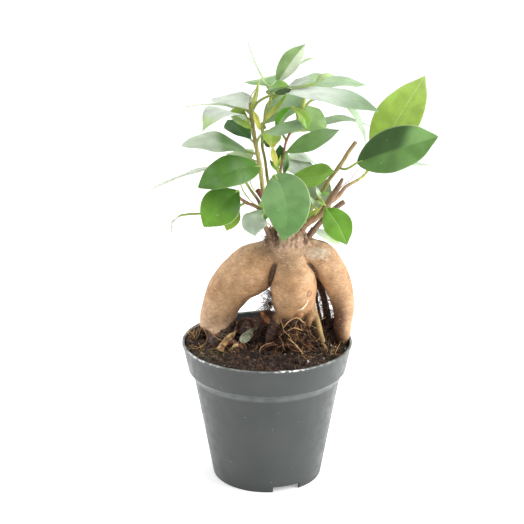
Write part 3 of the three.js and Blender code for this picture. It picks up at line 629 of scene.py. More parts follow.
class Finish:
    """A material of one Principled shader, and short names for the nodes that feed it."""

    def __init__(self, name, roughness, **sockets):
        self.material = bpy.data.materials.new(name)
        self.material.use_nodes = True
        self.nodes = self.material.node_tree.nodes
        self.links = self.material.node_tree.links
        self.shader = self.nodes["Principled BSDF"]
        self.shader.inputs["Roughness"].default_value = roughness
        for socket, value in sockets.items():
            self.shader.inputs[socket.replace("_", " ")].default_value = value

    def node(self, kind, inputs=(), **settings):
        """A new node of this kind, with its inputs fed and its settings made."""
        made = self.nodes.new("ShaderNode" + kind)
        for key, value in settings.items():
            setattr(made, key, value)
        for key, value in dict(inputs).items():
            self.feed(made.inputs[key], value)
        return made

    def feed(self, socket, value):
        """Links a socket to an output, or sets it to a number or to a colour as the eye sees it."""
        if isinstance(value, bpy.types.NodeSocket):
            self.links.new(value, socket)
        elif socket.type == "RGBA":
            socket.default_value = (*light(value), 1)
        else:
            socket.default_value = value

    def math(self, operation, a, b=0.0):
        """The result of a sum on one or two values."""
        return self.node("Math", {0: a, 1: b}, operation=operation).outputs[0]

    def times(self, a, b):
        return self.math("MULTIPLY", a, b)

    def band(self, value, low, high, to_low=0.0, to_high=1.0):
        """to_low below low and to_high above high, with a smooth step between."""
        inputs = {"Value": value, "From Min": low, "From Max": high, "To Min": to_low, "To Max": to_high}
        return self.node("MapRange", inputs, interpolation_type="SMOOTHSTEP").outputs[0]

    def mix(self, share, a, b):
        """A mix of two colours: a where share is 0 and b where it is 1."""
        made = self.node("Mix", data_type="RGBA")
        self.feed(made.inputs[0], share)
        self.feed(made.inputs[6], a)
        self.feed(made.inputs[7], b)
        return made.outputs[2]

    def shaded(self, colour, value):
        """The colour made brighter or darker by this factor."""
        return self.node("HueSaturation", {"Color": colour, "Value": value}).outputs[0]

    def here(self, squash=(1, 1, 1)):
        """The place on the object in metres, stretched along its axes."""
        coordinates = self.node("TexCoord").outputs["Object"]
        return self.node("Mapping", {"Vector": coordinates, "Scale": squash}).outputs[0]

    def noise(self, millimetres, detail=3.0, squash=(1, 1, 1), distortion=0.0):
        """Noise from about 0.3 to 0.7 with lumps of this size."""
        inputs = {"Vector": self.here(squash), "Scale": 1 / (millimetres * MM), "Detail": detail,
                  "Distortion": distortion}
        return self.node("TexNoise", inputs).outputs["Fac"]

    def spots(self, millimetres, squash=(1, 1, 1)):
        """The distance from the middles of scattered spots, 0 at a middle, in cells of this size."""
        inputs = {"Vector": self.here(squash), "Scale": 1 / (millimetres * MM)}
        return self.node("TexVoronoi", inputs).outputs["Distance"]

    def attribute(self, name, output="Color"):
        """What the mesh's points carry under this name."""
        return self.node("Attribute", attribute_name=name).outputs[output]

    def bump(self, height, millimetres, under=None):
        """The surface raised by this many millimetres where height is 1, over the bump under it."""
        inputs = {"Height": height, "Distance": millimetres * MM}
        if under is not None:
            inputs["Normal"] = under
        return self.node("Bump", inputs).outputs[0]

    def colour(self, value):
        self.feed(self.shader.inputs["Base Color"], value)

    def rough(self, value):
        self.feed(self.shader.inputs["Roughness"], value)

    def normal(self, value):
        self.feed(self.shader.inputs["Normal"], value)


VEIN_STEP = 3.4


def leaf_finish():
    """Glossy leaf skin: the leaf's greens, some of which hold painted sheen and shadow, with slow clouds, a
    pale midrib and rim, faint side veins, a few pale dots, a paler underside, and light that shines through."""
    f = Finish("leaf_skin", roughness=0.34)
    tint = f.attribute("tint")
    upper = f.attribute("tint", "Alpha")
    place = f.node("SeparateXYZ", {0: f.attribute("place", "Vector")}).outputs
    edge = f.math("ABSOLUTE", place[0])
    slant = f.math("SUBTRACT", place[1], f.times(place[2], 0.7))
    wave = f.math("COSINE", f.times(slant, 2 * np.pi / VEIN_STEP))
    vein = f.times(f.band(wave, 0.86, 1.0), f.band(edge, 0.98, 0.75))
    rib = f.band(place[2], 0.55, 0.15)
    clouds_over = f.band(f.noise(9, 2), 0.3, 0.7, 0.86, 1.12)
    green = f.shaded(tint, clouds_over)
    pale = f.node("HueSaturation", {"Color": tint, "Value": 1.3, "Saturation": 0.8}).outputs[0]
    rim = f.band(edge, 0.93, 0.995, 0.0, 0.45)
    green = f.mix(f.times(vein, 0.07), green, pale)
    green = f.mix(f.times(rib, 0.5), green, (196, 212, 146))
    green = f.mix(rim, green, (200, 216, 160))
    under = f.mix(0.45, green, (176, 196, 160))
    green = f.mix(upper, under, green)
    dots = f.times(f.band(f.spots(5.5), 0.1, 0.06), f.band(f.noise(16, 1), 0.5, 0.58, 0.0, 0.4))
    green = f.mix(dots, green, (196, 214, 180))
    f.colour(green)
    f.rough(f.band(f.noise(3, 2), 0.3, 0.7, 0.28, 0.4))
    skin = f.bump(f.noise(0.9, 2), 0.05)
    skin = f.bump(vein, 0.04, under=skin)
    f.normal(skin)
    through = f.node("BsdfTranslucent", {"Color": f.mix(0.35, green, (176, 204, 70)), "Normal": skin})
    both = f.node("MixShader", {0: 0.28, 1: f.shader.outputs[0], 2: through.outputs[0]})
    f.links.new(both.outputs[0], f.nodes["Material Output"].inputs["Surface"])
    return f.material


def twig_finish():
    """Young bark: its own tint, streaked along the stem and speckled with small pale pores."""
    f = Finish("twig_bark", roughness=0.62)
    tint = f.attribute("tint")
    streaks = f.band(f.noise(1.6, 4, squash=(1, 1, 0.3)), 0.3, 0.7, 0.7, 1.25)
    bark = f.shaded(tint, streaks)
    pores = f.band(f.spots(1.3), 0.22, 0.1, 0.0, 0.5)
    f.colour(f.mix(pores, bark, (190, 165, 120)))
    f.normal(f.bump(f.noise(0.7, 3, squash=(1, 1, 0.5)), 0.15))
    return f.material


def root_finish():
    """Root skin: its own tint, mottled by fine grain, with pores, freckles and short pale flecks."""
    f = Finish("root_skin", roughness=0.6)
    tint = f.attribute("tint")
    slow = f.band(f.noise(7, 3), 0.3, 0.7, 0.86, 1.1)
    skin = f.shaded(tint, slow)
    grain = f.band(f.noise(2.2, 5, squash=(0.8, 0.8, 1.3)), 0.4, 0.64, 0.0, 0.34)
    skin = f.mix(grain, skin, (134, 92, 54))
    pores = f.times(f.band(f.spots(1.25), 0.22, 0.1), f.band(f.noise(8, 2), 0.38, 0.6, 0.1, 0.6))
    skin = f.mix(pores, skin, (98, 62, 38))
    sparse = f.band(f.noise(5, 1), 0.46, 0.6)
    freckles = f.times(f.band(f.spots(2.4, squash=(0.7, 0.7, 1.5)), 0.24, 0.1), sparse)
    skin = f.mix(f.times(freckles, 0.6), skin, (84, 54, 34))
    patches = f.band(f.noise(6, 2), 0.42, 0.58)
    flecks = f.times(f.band(f.spots(2.1, squash=(0.5, 0.5, 1.9)), 0.26, 0.12), patches)
    skin = f.mix(f.times(flecks, 0.55), skin, (234, 208, 172))
    f.colour(skin)
    f.rough(f.band(f.noise(4, 3), 0.3, 0.7, 0.5, 0.72))
    wrinkles = f.bump(f.noise(1.3, 3, squash=(0.6, 0.6, 1.5)), 0.3)
    f.normal(f.bump(grain, 0.12, under=wrinkles))
    return f.material


def soil_finish():
    """Damp coir and peat: each crumb's own brown, mottled lighter and darker, barely glossy."""
    f = Finish("coir_soil", roughness=0.85)
    tint = f.attribute("tint")
    mottled = f.band(f.noise(1.1, 5), 0.3, 0.7, 0.45, 1.25)
    soil = f.shaded(tint, mottled)
    straws = f.times(f.band(f.noise(0.9, 2, squash=(0.35, 1.6, 1)), 0.62, 0.7), 0.3)
    f.colour(f.mix(straws, soil, (150, 100, 56)))
    f.normal(f.bump(f.noise(0.7, 5), 0.6))
    return f.material


def fibre_finish():
    """Dry fibre in its own tint, with slow light and dark stretches."""
    f = Finish("dry_fibre", roughness=0.7)
    stretch = f.band(f.noise(2.5, 2), 0.3, 0.7, 0.7, 1.3)
    f.colour(f.shaded(f.attribute("tint"), stretch))
    return f.material


def perlite_finish():
    """Chalky white grain, dusted brown in places."""
    f = Finish("chalky_grain", roughness=0.9)
    dust = f.band(f.noise(1.2, 4), 0.5, 0.68, 0.0, 0.7)
    f.colour(f.mix(dust, f.attribute("tint"), (140, 118, 90)))
    f.normal(f.bump(f.noise(0.5, 4), 0.25))
    return f.material


def moss_finish():
    """Moss and algae in their own green, matte and grainy."""
    f = Finish("green_moss", roughness=0.95)
    patch = f.band(f.noise(0.8, 4), 0.3, 0.7, 0.6, 1.4)
    f.colour(f.shaded(f.attribute("tint"), patch))
    f.normal(f.bump(f.noise(0.4, 3), 0.3))
    return f.material


COLLAR_SLOPE = (RIM_RADIUS - COLLAR_FOOT_RADIUS) / (POT_HEIGHT - COLLAR_FOOT_Z)


def pot_finish():
    """Thin grey moulded plastic: a satin skin with faint flow marks and a few rubbed scratches, a painted
    pale reflection on the ledge and a painted highlight on the lip, a pale crust on the lip at the front and
    the left, and painted shade on the inner wall."""
    f = Finish("grey_pot_plastic", roughness=0.36, Specular_IOR_Level=0.5)
    slow = f.band(f.noise(28, 3), 0.3, 0.7, 0.0, 1.0)
    grey = f.mix(slow, (46, 51, 50), (54, 58, 57))
    x, y, z = (f.times(axis, 1 / MM) for axis in f.node("SeparateXYZ", {0: f.here()}).outputs)
    # Painted reflection of the bright floor on the ledge band, which faces down and out, in patches.
    ledge = f.band(z, LEDGE_Z - 3.1, LEDGE_Z - 0.4)
    ledge = f.times(ledge, f.band(z, COLLAR_FOOT_Z + 0.3, COLLAR_FOOT_Z - 0.2))
    lip = f.band(z, POT_HEIGHT - 1.2, POT_HEIGHT - 0.4)
    sheen_patches = f.band(f.noise(9, 4), 0.3, 0.7, 0.08, 0.24)
    # Painted highlight on the top of the lip, in patches.
    pale_lip = f.times(lip, f.band(f.noise(5, 4), 0.35, 0.65, 0.15, 0.6))
    grey = f.mix(f.math("MAXIMUM", f.times(ledge, sheen_patches), pale_lip), grey, (150, 156, 152))
    front = f.times(f.band(f.noise(2.6, 4), 0.5, 0.57), f.band(y, -52, -56))
    front = f.times(front, f.band(x, 2, 12))
    left = f.times(f.band(f.noise(3.2, 5), 0.5, 0.6, 0.0, 0.6), f.band(x, -30, -36))
    left = f.times(left, f.band(y, -10, -30))
    crust = f.times(f.math("MAXIMUM", front, left), lip)
    grey = f.mix(crust, grey, (226, 228, 224))
    # Painted shade on the inner wall, from the collar foot up to just under the lip.
    away = f.math("SQRT", f.math("ADD", f.times(x, x), f.times(y, y)))
    wall = f.math("ADD", f.times(z, COLLAR_SLOPE), COLLAR_FOOT_RADIUS - COLLAR_SLOPE * COLLAR_FOOT_Z)
    depth = f.math("SUBTRACT", wall, away)
    inside = f.times(f.band(depth, 0.5, 0.8), f.band(z, POT_HEIGHT - 0.6, POT_HEIGHT - 1.2))
    inside = f.times(inside, f.band(z, COLLAR_FOOT_Z + 0.2, COLLAR_FOOT_Z + 0.9))
    grey = f.mix(inside, grey, (32, 38, 40))
    marks = f.band(f.noise(2.2, 5, squash=(1, 1, 0.12), distortion=0.4), 0.71, 0.77, 0.0, 0.35)
    grey = f.mix(marks, grey, (128, 134, 131))
    dust = f.times(f.band(f.spots(9), 0.05, 0.03), 0.4)
    f.colour(f.mix(dust, grey, (170, 172, 166)))
    f.rough(f.band(f.noise(6, 5), 0.3, 0.7, 0.3, 0.46))
    f.normal(f.bump(f.noise(0.5, 2), 0.015))
    return f.material


def bark_chip_finish():
    """Dry bark: its own brown, with paler ridges and dark cracks."""
    f = Finish("dry_bark", roughness=0.85)
    cracks = f.band(f.noise(1.4, 4, squash=(0.6, 0.6, 0.3)), 0.35, 0.6, 0.5, 1.25)
    f.colour(f.shaded(f.attribute("tint"), cracks))
    f.normal(f.bump(cracks, 0.4))
    return f.material


def dry_leaf_finish():
    """A dull dry leaf, grey-green with brown blotches."""
    f = Finish("dry_leaf_skin", roughness=0.75)
    blotch = f.band(f.noise(2.5, 4), 0.5, 0.62, 0.0, 0.8)
    f.colour(f.mix(blotch, (206, 214, 186), (132, 112, 82)))
    f.normal(f.bump(f.noise(0.8, 3), 0.1))
    return f.material


STATIONS = 40
HALF_ACROSS = (0.045, 0.11, 0.2, 0.32, 0.45, 0.58, 0.7, 0.81, 0.9, 0.96)
BLADE_HALF_THICKNESS = 0.21
LEAF_SHARPNESS = 0.8
FULL_LEAF_SHARPNESS = 0.66


def blade(spec, seed):
    """The skin of a leaf blade, and each point's place on it.

    The midrib is a quadratic curve from the base to the tip, bowed by arch along the way the leaf faces and
    by bend across it, with its last part turned under by curl. Half the width is a power of the sine of the
    way along, skewed so that it peaks where it should. Across the blade each half rises from the midrib by
    the fold, sinks a little towards its edge and waves. The skin's thickness is an ellipse across, with a
    ridge under the midrib and a groove over it.
    """
    draw = np.random.default_rng(seed)
    base, tip, face = (np.asarray(spec[key], float) for key in ("base", "tip", "face"))
    turn = np.linspace(0.035, 0.985, STATIONS) * np.pi
    t = ((1 - np.cos(turn)) / 2)[:, None]
    length = np.linalg.norm(tip - base) * t
    chord = unit(tip - base)
    out = unit(face - chord * (face @ chord))
    end = tip + out * spec["curl"]
    middle = (base + end) / 2 + 2 * spec["arch"] * out + 2 * spec["bend"] * np.cross(chord, out)
    turned = np.clip((t - 0.55) / 0.45, 0, None)
    rib = (1 - t) ** 2 * base + 2 * t * (1 - t) * middle + t**2 * end - spec["curl"] * turned**2 * out
    along = unit(np.gradient(rib, axis=0))
    normal = unit(out - along * (along @ out)[:, None])
    side = np.cross(along, normal)
    skewed = t ** (np.log(0.5) / np.log(spec["peak"]))
    sharpness = FULL_LEAF_SHARPNESS if spec["full"] else LEAF_SHARPNESS
    reach = spec["width"] / 2 * np.sin(np.pi * skewed) ** sharpness
    reach = np.maximum(reach * (1 - spec["point"] * ease(t, 0.8, 1.0)), 0.3)
    half = np.array(HALF_ACROSS)
    across = np.concatenate([-half[::-1], [0], half])
    s = np.concatenate([[1], across[::-1], [-1], across])[None]
    upper = np.concatenate([[0.5], np.zeros(len(across)), [0.5], np.ones(len(across))])
    away = np.abs(s) * reach
    fold = np.radians(spec["fold"]) * (1.2 - 0.4 * t)
    lift = (np.sqrt(s**2 + 0.03) - np.sqrt(0.03)) * reach * np.sin(fold)
    beats = draw.uniform(1.2, 2.4, 2)[:, None]
    starts = draw.uniform(0, 1, 2)[:, None]
    waves = np.sin(2 * np.pi * (beats * t.T + starts))
    ripple = np.where(s > 0, waves[0][:, None], waves[1][:, None]) * s**2 * np.sin(np.pi * t)
    beat = 2 * np.pi * (length / VEIN_STEP - away / 4.9)
    quilt = 0.05 * np.sin(beat) * np.abs(s) * (1 - s**2)
    lift = lift - 0.07 * s**2 * reach + spec["wave"] * ripple + quilt
    thick = BLADE_HALF_THICKNESS * np.sqrt(1 - s**2) * np.ones_like(t)
    ridge = 0.5 * np.exp(-((away / 0.55) ** 2)) * (1 - 0.75 * t)
    thick = np.where(upper > 0.5, thick - 0.35 * ridge, -thick - ridge)
    rings = rib[:, None] + side[:, None] * (s * reach * np.cos(fold))[..., None]
    rings = rings + normal[:, None] * (lift + thick)[..., None]
    place = np.stack([s * np.ones_like(t), length * np.ones_like(s), away + spec["veil"]], axis=-1)
    return rings, place, upper


def leaf_skins(spec, seed, skins):
    """Adds a leaf's blade and stalk to the skins."""
    rings, place, upper = blade(spec, seed)
    greens = [GREENS[name] for name in spec["greens"].split()]
    draw = np.random.default_rng(seed)
    along = place[..., 1] / place[..., 1].max() + spec["slant"] * place[..., 0]
    tint = between(greens[0], greens[-1], ease(along, *spec["change"])) * draw.uniform(0.93, 1.07)
    if spec["half"]:
        tint = toward(tint, GREENS[spec["half"]], 0.8 * ease(place[..., 0], -0.05, 0.1))
    upper = np.broadcast_to(upper, tint.shape[:2])[..., None]
    skins.add(rings, np.concatenate([tint, upper], axis=-1), place)
    way = [(*point, 0.85) for point in spec["stalk"]] + [(*spec["base"], 0.75)]
    into = rings[6].mean(axis=0)
    path = smooth_path(way + [(*into, 0.4)], 6)
    tint = between((148, 160, 88), (172, 196, 104), np.linspace(0, 1, len(path)))[:, None]
    skins.add(tube(path, 8), tint, (0, 0, 3))


def wood_skins(stem, skins):
    """Adds a stem's wood to the skins: round tubes, thicker by e to the power of minus the squared distance
    from each leaf's joint, with bark that changes from its first colour to its last."""
    joints = np.array([spec["stalk"][0] for spec in stem["leaves"].values()])
    for points, first, last in stem["wood"]:
        path = smooth_path(points, 8)
        near = np.linalg.norm(path[:, None, :3] - joints, axis=-1).min(axis=1)
        path[:, 3] *= 1 + 0.22 * np.exp(-((near / 1.6) ** 2)) + 0.05 * clouds(path[:, :3], 3, 5)
        tint = between(BARKS[first], BARKS[last], ease(np.linspace(0, 1, len(path)), 0.35, 1))
        skins.add(tube(path, 14), tint[:, None])


FOLIAGE_SLOTS = {"stem_tall": "pale_foliage", "stem_middle": "pale_foliage", "stem_branch": "lime_foliage"}


def build_stems(leaf_skin, twig_bark):
    """Each leafy stem as a piece of wood and a piece of leaves. Each leaf has a seed of its own."""
    seed = 40
    for name, stem in STEMS.items():
        slot = FOLIAGE_SLOTS.get(name, "green_foliage")
        wood, leaves = Skins(), Skins()
        wood_skins(stem, wood)
        for spec in stem["leaves"].values():
            seed += 1
            leaf_skins(spec, seed, leaves)
        piece(name + "_wood", wood, twig_bark, "root_bark", name)
        piece(name + "_leaves", leaves, leaf_skin, slot, name)


def profile_skin(profile, turns):
    """Rings of points: a profile of [radius, z] turned about the pot's axis."""
    radius, z = np.asarray(profile, float).T
    ring = np.stack([np.cos(turns), np.sin(turns)], axis=-1)
    rings = radius[:, None, None] * ring
    return np.concatenate([rings, np.broadcast_to(z[:, None, None], rings.shape[:2] + (1,))], axis=-1)


CORNER_RADIUS = 0.3
CORNER_STEPS = 3


def rounded(corners):
    """The profile with each inner corner turned into a short curve that starts and ends a corner radius from
    it, and a point just outside each end, so that the straights stay flat to the eye."""
    p = np.asarray(corners, float)
    before, here, after = p[:-2], p[1:-1], p[2:]
    reach = np.minimum(CORNER_RADIUS, 0.45 * np.linalg.norm(before - here, axis=1))[:, None]
    start = here + unit(before - here) * reach
    reach = np.minimum(CORNER_RADIUS, 0.45 * np.linalg.norm(after - here, axis=1))[:, None]
    end = here + unit(after - here) * reach
    t = np.linspace(0, 1, CORNER_STEPS + 1)[None, :, None]
    curve = (1 - t) ** 2 * start[:, None] + 2 * t * (1 - t) * here[:, None] + t**2 * end[:, None]
    before = start + (start - here) * 0.12
    after = end + (end - here) * 0.12
    curve = np.concatenate([before[:, None], curve, after[:, None]], axis=1)
    return np.vstack([p[:1], curve.reshape(-1, 2), p[-1:]])


def inner_radius(z):
    """Radius of the pot's inner wall below the ledge: the foot's, widened by the slope, less the wall."""
    return FOOT_RADIUS + BODY_SLOPE * z - WALL


POT_TURNS = 144
NOTCH_STEP = 0.0015
SHARP_DEG = 40


def build_pot(plastic):
    """The pot's shell, a turned profile whose foot ring is raised at the notches, with drain holes cut. Each
    notch's edge is a pair of points, a notch step either side of it."""
    inner_floor = FLOOR_Z + WALL
    corners = [
        (DISC_RADIUS, 0), (DISC_TOP_RADIUS, FLOOR_Z), (inner_radius(FLOOR_Z), FLOOR_Z),
        (FOOT_RADIUS - WALL, 0), (FOOT_RADIUS, 0), (FOOT_RADIUS + BODY_SLOPE * 5, 5),
        (LEDGE_RADIUS - 0.45, LEDGE_Z - 2.4), (LEDGE_RADIUS + 0.7, LEDGE_Z + 0.8),
        (COLLAR_FOOT_RADIUS, COLLAR_FOOT_Z),
        (RIM_RADIUS - 0.55, POT_HEIGHT - 2.1), (RIM_RADIUS, POT_HEIGHT - 1.8),
        (RIM_RADIUS, POT_HEIGHT), (RIM_RADIUS - LIP, POT_HEIGHT), (RIM_RADIUS - LIP - 0.25, POT_HEIGHT - 0.8),
        (COLLAR_FOOT_RADIUS - WALL, COLLAR_FOOT_Z + 0.6), (LEDGE_RADIUS - WALL, LEDGE_Z + 0.6),
        (inner_radius(inner_floor), inner_floor), (DISC_TOP_RADIUS - WALL, inner_floor),
        (DISC_RADIUS - WALL, WALL),
    ]
    profile = rounded([(0.2, 0)] + corners + [(0.2, WALL)])
    first = np.radians(FIRST_NOTCH_DEG - 90)
    middles = first + 2 * np.pi * np.arange(NOTCHES) / NOTCHES
    half = np.arcsin(NOTCH_WIDTH / 2 / FOOT_RADIUS)
    edges = np.concatenate([middles - half, middles + half])
    edges = np.concatenate([edges - NOTCH_STEP, edges + NOTCH_STEP]) % (2 * np.pi)
    turns = np.sort(np.concatenate([np.linspace(0, 2 * np.pi, POT_TURNS, endpoint=False), edges]))
    rings = profile_skin(profile, turns)
    off = np.abs((turns[:, None] - middles + np.pi) % (2 * np.pi) - np.pi).min(axis=1)
    foot = (profile[:, 0] > FOOT_RADIUS - WALL - 1) & (profile[:, 1] < NOTCH_HEIGHT)
    raised = foot[:, None] & (off < half)
    rings[..., 2] = np.where(raised, NOTCH_HEIGHT, rings[..., 2])
    drains = Skins()
    for i in range(DRAIN_HOLES):
        angle = first + 2 * np.pi * i / DRAIN_HOLES
        x, y = DRAIN_CIRCLE * np.cos(angle), DRAIN_CIRCLE * np.sin(angle)
        drains.add(tube(np.array([(x, y, 2, DRAIN_RADIUS), (x, y, 8, DRAIN_RADIUS)], float), 32), (1, 1, 1))
    cutter = link("drain_cutter", drains.mesh("drain_cutter"))
    made = piece("nursery_pot", Skins(rings, (1, 1, 1)), plastic, "pot_plastic", "pot")
    cut = made.modifiers.new("drain_holes", "BOOLEAN")
    cut.operation = "DIFFERENCE"
    cut.object = cutter
    apply_modifiers(made)
    bpy.data.objects.remove(cutter)
    made.data.set_sharp_from_angle(angle=np.radians(SHARP_DEG))


def apply_modifiers(made):
    """Replaces the piece's mesh with the mesh that its modifiers make of it."""
    graph = bpy.context.evaluated_depsgraph_get()
    graph.update()
    shaped = bpy.data.meshes.new_from_object(made.evaluated_get(graph))
    made.modifiers.clear()
    made.data = shaped


def mound(x, y, middle_x, middle_y, area):
    """1 over the middle, and less away from it: e to the power of minus the squared distance over area."""
    return np.exp(-((x - middle_x) ** 2 + (y - middle_y) ** 2) / area)


def level(x, y):
    """Height of the soil without its crumbs, as in the part's source."""
    heaps = 4 * mound(x, y, -44, 6, 12.6**2)
    heaps = heaps + 11 * mound(x, y, 14, 2, 17.3**2)
    heaps = heaps + 1.5 * mound(x, y, -22, -11, 12.6**2)
    waves = 0.5 * np.sin(0.31 * x + 1) * np.cos(0.37 * y) + 0.35 * np.sin(0.53 * y + 0.41 * x)
    return 96.3 - 0.02 * x - 0.022 * y + heaps + waves


def soil_top(x, y):
    """Height of the soil with its lumps: three sizes of clouds over the level, less at the pot's wall."""
    flat = np.stack([x, y, np.zeros_like(x)], axis=-1)
    lumps = 1.3 * clouds(flat, 7, 21) + 1.3 * clouds(flat, 3.2, 22) + 0.7 * clouds(flat, 1.4, 23)
    return level(x, y) + lumps * ease(58 - np.hypot(x, y), 0, 3)


SOIL_BROWNS = ((15, 11, 9), (50, 33, 26))


def greened(points, tints):
    """Soil browns turned grey-green by the right foot and at the left front wall."""
    x, y = points[..., 0], points[..., 1]
    share = mound(x, y, 46, -8, 220) + mound(x, y, -38, -28, 200)
    return toward(tints, (60, 62, 46), 0.6 * np.clip(share + 0.2 * clouds(points, 5, 26), 0, 1))


SOIL_GAP = 0.35
SOIL_RADIUS = 57.2
SOIL_TURNS = 280
SOIL_RINGS = 150


def build_soil(coir):
    """The soil ball: rings up the inside of the pot, a small gap off it, then in across the lumpy top, with
    browns mixed by two sizes of clouds."""
    turns = np.linspace(0, 2 * np.pi, SOIL_TURNS, endpoint=False)
    off = WALL + SOIL_GAP
    floor = FLOOR_Z + off
    sides = [
        (0.2, off), (DISC_RADIUS - off, off), (DISC_TOP_RADIUS - off, floor),
        (inner_radius(floor) - SOIL_GAP, floor), (inner_radius(40) - SOIL_GAP, 40),
        (LEDGE_RADIUS - off, LEDGE_Z + 0.6), (COLLAR_FOOT_RADIUS - off, COLLAR_FOOT_Z + 0.6),
    ]
    wall = profile_skin(sides, turns)
    top = profile_skin([(radius, 0) for radius in np.linspace(SOIL_RADIUS, 0.3, SOIL_RINGS)], turns)
    top[..., 2] = soil_top(top[..., 0], top[..., 1])
    rings = np.concatenate([wall, top])
    shade = 0.5 + 0.6 * clouds(rings, 2.6, 24) + 0.4 * clouds(rings, 8, 25)
    skins = Skins(rings, greened(rings, between(*SOIL_BROWNS, np.clip(shade, 0, 1))))
    piece("coir_soil", skins, coir, "potting_soil", "soil")


PEBBLE_ROWS = 4
PEBBLE_SIDES = 6


def pebbles(places, radii, seed, tints):
    """Skins of small uneven lumps: balls whose points are pushed in and out by up to a third."""
    draw = np.random.default_rng(seed)
    count = len(places)
    tilt = np.linspace(0.12, 1, PEBBLE_ROWS + 1)[:-1] * np.pi
    turns = np.linspace(0, 2 * np.pi, PEBBLE_SIDES, endpoint=False)
    ball = np.stack([
        np.sin(tilt)[:, None] * np.cos(turns),
        np.sin(tilt)[:, None] * np.sin(turns),
        -np.cos(tilt)[:, None] * np.ones(PEBBLE_SIDES),
    ], axis=-1)
    shape = ball * draw.uniform(0.72, 1.28, (count, PEBBLE_ROWS, PEBBLE_SIDES, 1))
    shape = shape * draw.uniform(0.7, 1.3, (count, 1, 1, 3))
    angle = draw.uniform(0, 2 * np.pi, count)[:, None, None]
    x = shape[..., 0] * np.cos(angle) - shape[..., 1] * np.sin(angle)
    y = shape[..., 0] * np.sin(angle) + shape[..., 1] * np.cos(angle)
    rings = places[:, None, None] + radii[:, None, None, None] * np.stack([x, y, shape[..., 2]], axis=-1)
    return Skins(rings, tints[:, None, None])


def scatter(count, draw, inside=56):
    """Points spread evenly over the soil's top: each one's radius is the square root of an even draw."""
    radius = inside * np.sqrt(draw.uniform(0, 1, count))
    angle = draw.uniform(0, 2 * np.pi, count)
    x, y = radius * np.cos(angle), radius * np.sin(angle)
    return np.stack([x, y, soil_top(x, y)], axis=-1)


CRUMBS = 2600
PERLITE_GRAINS = 170
MOSS_TRIES = 2400
MOSS_SHARE = 0.55


def build_crumbs(coir, grain, moss):
    """Loose crumbs of coir, white grains, and moss against the wall, the right foot and the left front. Of
    the moss's tries, those stay whose share of heaps and clouds is high enough."""
    draw = np.random.default_rng(31)
    places = scatter(CRUMBS, draw)
    radii = draw.gamma(4, 0.16, len(places)).clip(0.25, 1.6)
    tints = greened(places, between(*SOIL_BROWNS, draw.uniform(0, 1.35, len(places))))
    piece("coir_crumbs", pebbles(places, radii, 32, tints), coir, "potting_soil")
    places = scatter(PERLITE_GRAINS, draw)
    radii = draw.gamma(3, 0.14, len(places)).clip(0.2, 1.1)
    tints = between((214, 208, 196), (170, 150, 120), draw.uniform(0, 1, len(places)) ** 2)
    piece("perlite_grains", pebbles(places, radii, 33, tints), grain, "potting_soil")
    places = scatter(MOSS_TRIES, draw)
    x, y = places[:, 0], places[:, 1]
    patch = 0.5 * clouds(places, 9, 34) + 1.3 * mound(x, y, 44, -8, 170) + 1.1 * mound(x, y, -40, -24, 160)
    patch = patch + 0.3 * ease(np.hypot(x, y), 46, 56)
    places = places[patch > MOSS_SHARE]
    radii = draw.uniform(0.25, 0.8, len(places))
    tints = between((34, 42, 22), (112, 124, 52), draw.uniform(0, 1, len(places)) ** 2.2)
    piece("moss_tufts", pebbles(places, radii, 35, tints), moss, "potting_soil")


def wandering(starts, headings, length, steps, curl, draw):
    """Paths of these lengths that set out in their headings and turn a little at random at every step."""
    paths = [starts]
    way = unit(headings)
    for _ in range(steps):
        way = unit(way + curl * draw.normal(0, 1, way.shape))
        paths.append(paths[-1] + way * (length / steps)[:, None])
    return np.stack(paths, axis=1)


FIBRE_STEPS = 7
FIBRE_CURL = 0.4
FIBRE_EDGE = 56.5


def soil_fibres(name, count, tints, thick, seed, fibre):
    """Fibres of about this half thickness over the soil, each arched up by half a sine wave."""
    draw = np.random.default_rng(seed)
    starts = scatter(count, draw, inside=55)
    turn = draw.uniform(0, 2 * np.pi, count)
    headings = np.stack([np.cos(turn), np.sin(turn), np.zeros(count)], axis=-1)
    length = draw.gamma(3, 2.2, count).clip(2, 22)
    paths = wandering(starts, headings, length, FIBRE_STEPS, FIBRE_CURL, draw)
    away = np.hypot(paths[..., 0], paths[..., 1])
    paths[..., :2] *= np.minimum(1, FIBRE_EDGE / away)[..., None]
    ground = soil_top(paths[..., 0], paths[..., 1])
    along = np.linspace(0, 1, FIBRE_STEPS + 1)
    paths[..., 2] = ground + np.sin(np.pi * along) * draw.gamma(1.3, 0.8, (count, 1)).clip(0.1, 4)
    radii = thick * draw.uniform(0.6, 1.4, count)[:, None] * (1.1 - 0.5 * along)
    tints = between(*tints, draw.uniform(0, 1, count) ** 1.6)[:, None, None]
    piece(name, Skins(strands(paths, radii), tints), fibre, "potting_soil")


DARK_FIBRES = 2400
GOLDEN_FIBRES = 480


def build_fibres(fibre):
    """Dark and golden coir fibres over the soil."""
    soil_fibres("dark_fibres", DARK_FIBRES, ((26, 17, 13), (110, 72, 50)), 0.14, 51, fibre)
    soil_fibres("golden_fibres", GOLDEN_FIBRES, ((96, 62, 38), (206, 164, 114)), 0.11, 52, fibre)


HAIR_STEPS = 7
HAIR_CURL = 0.42
HAIR_RADIUS = 0.12


def repeated(groups, column, counts):
    """One column of the groups, each group's value as often as its count says."""
    return np.repeat(np.array([group[column] for group in groups], float), counts, axis=0)


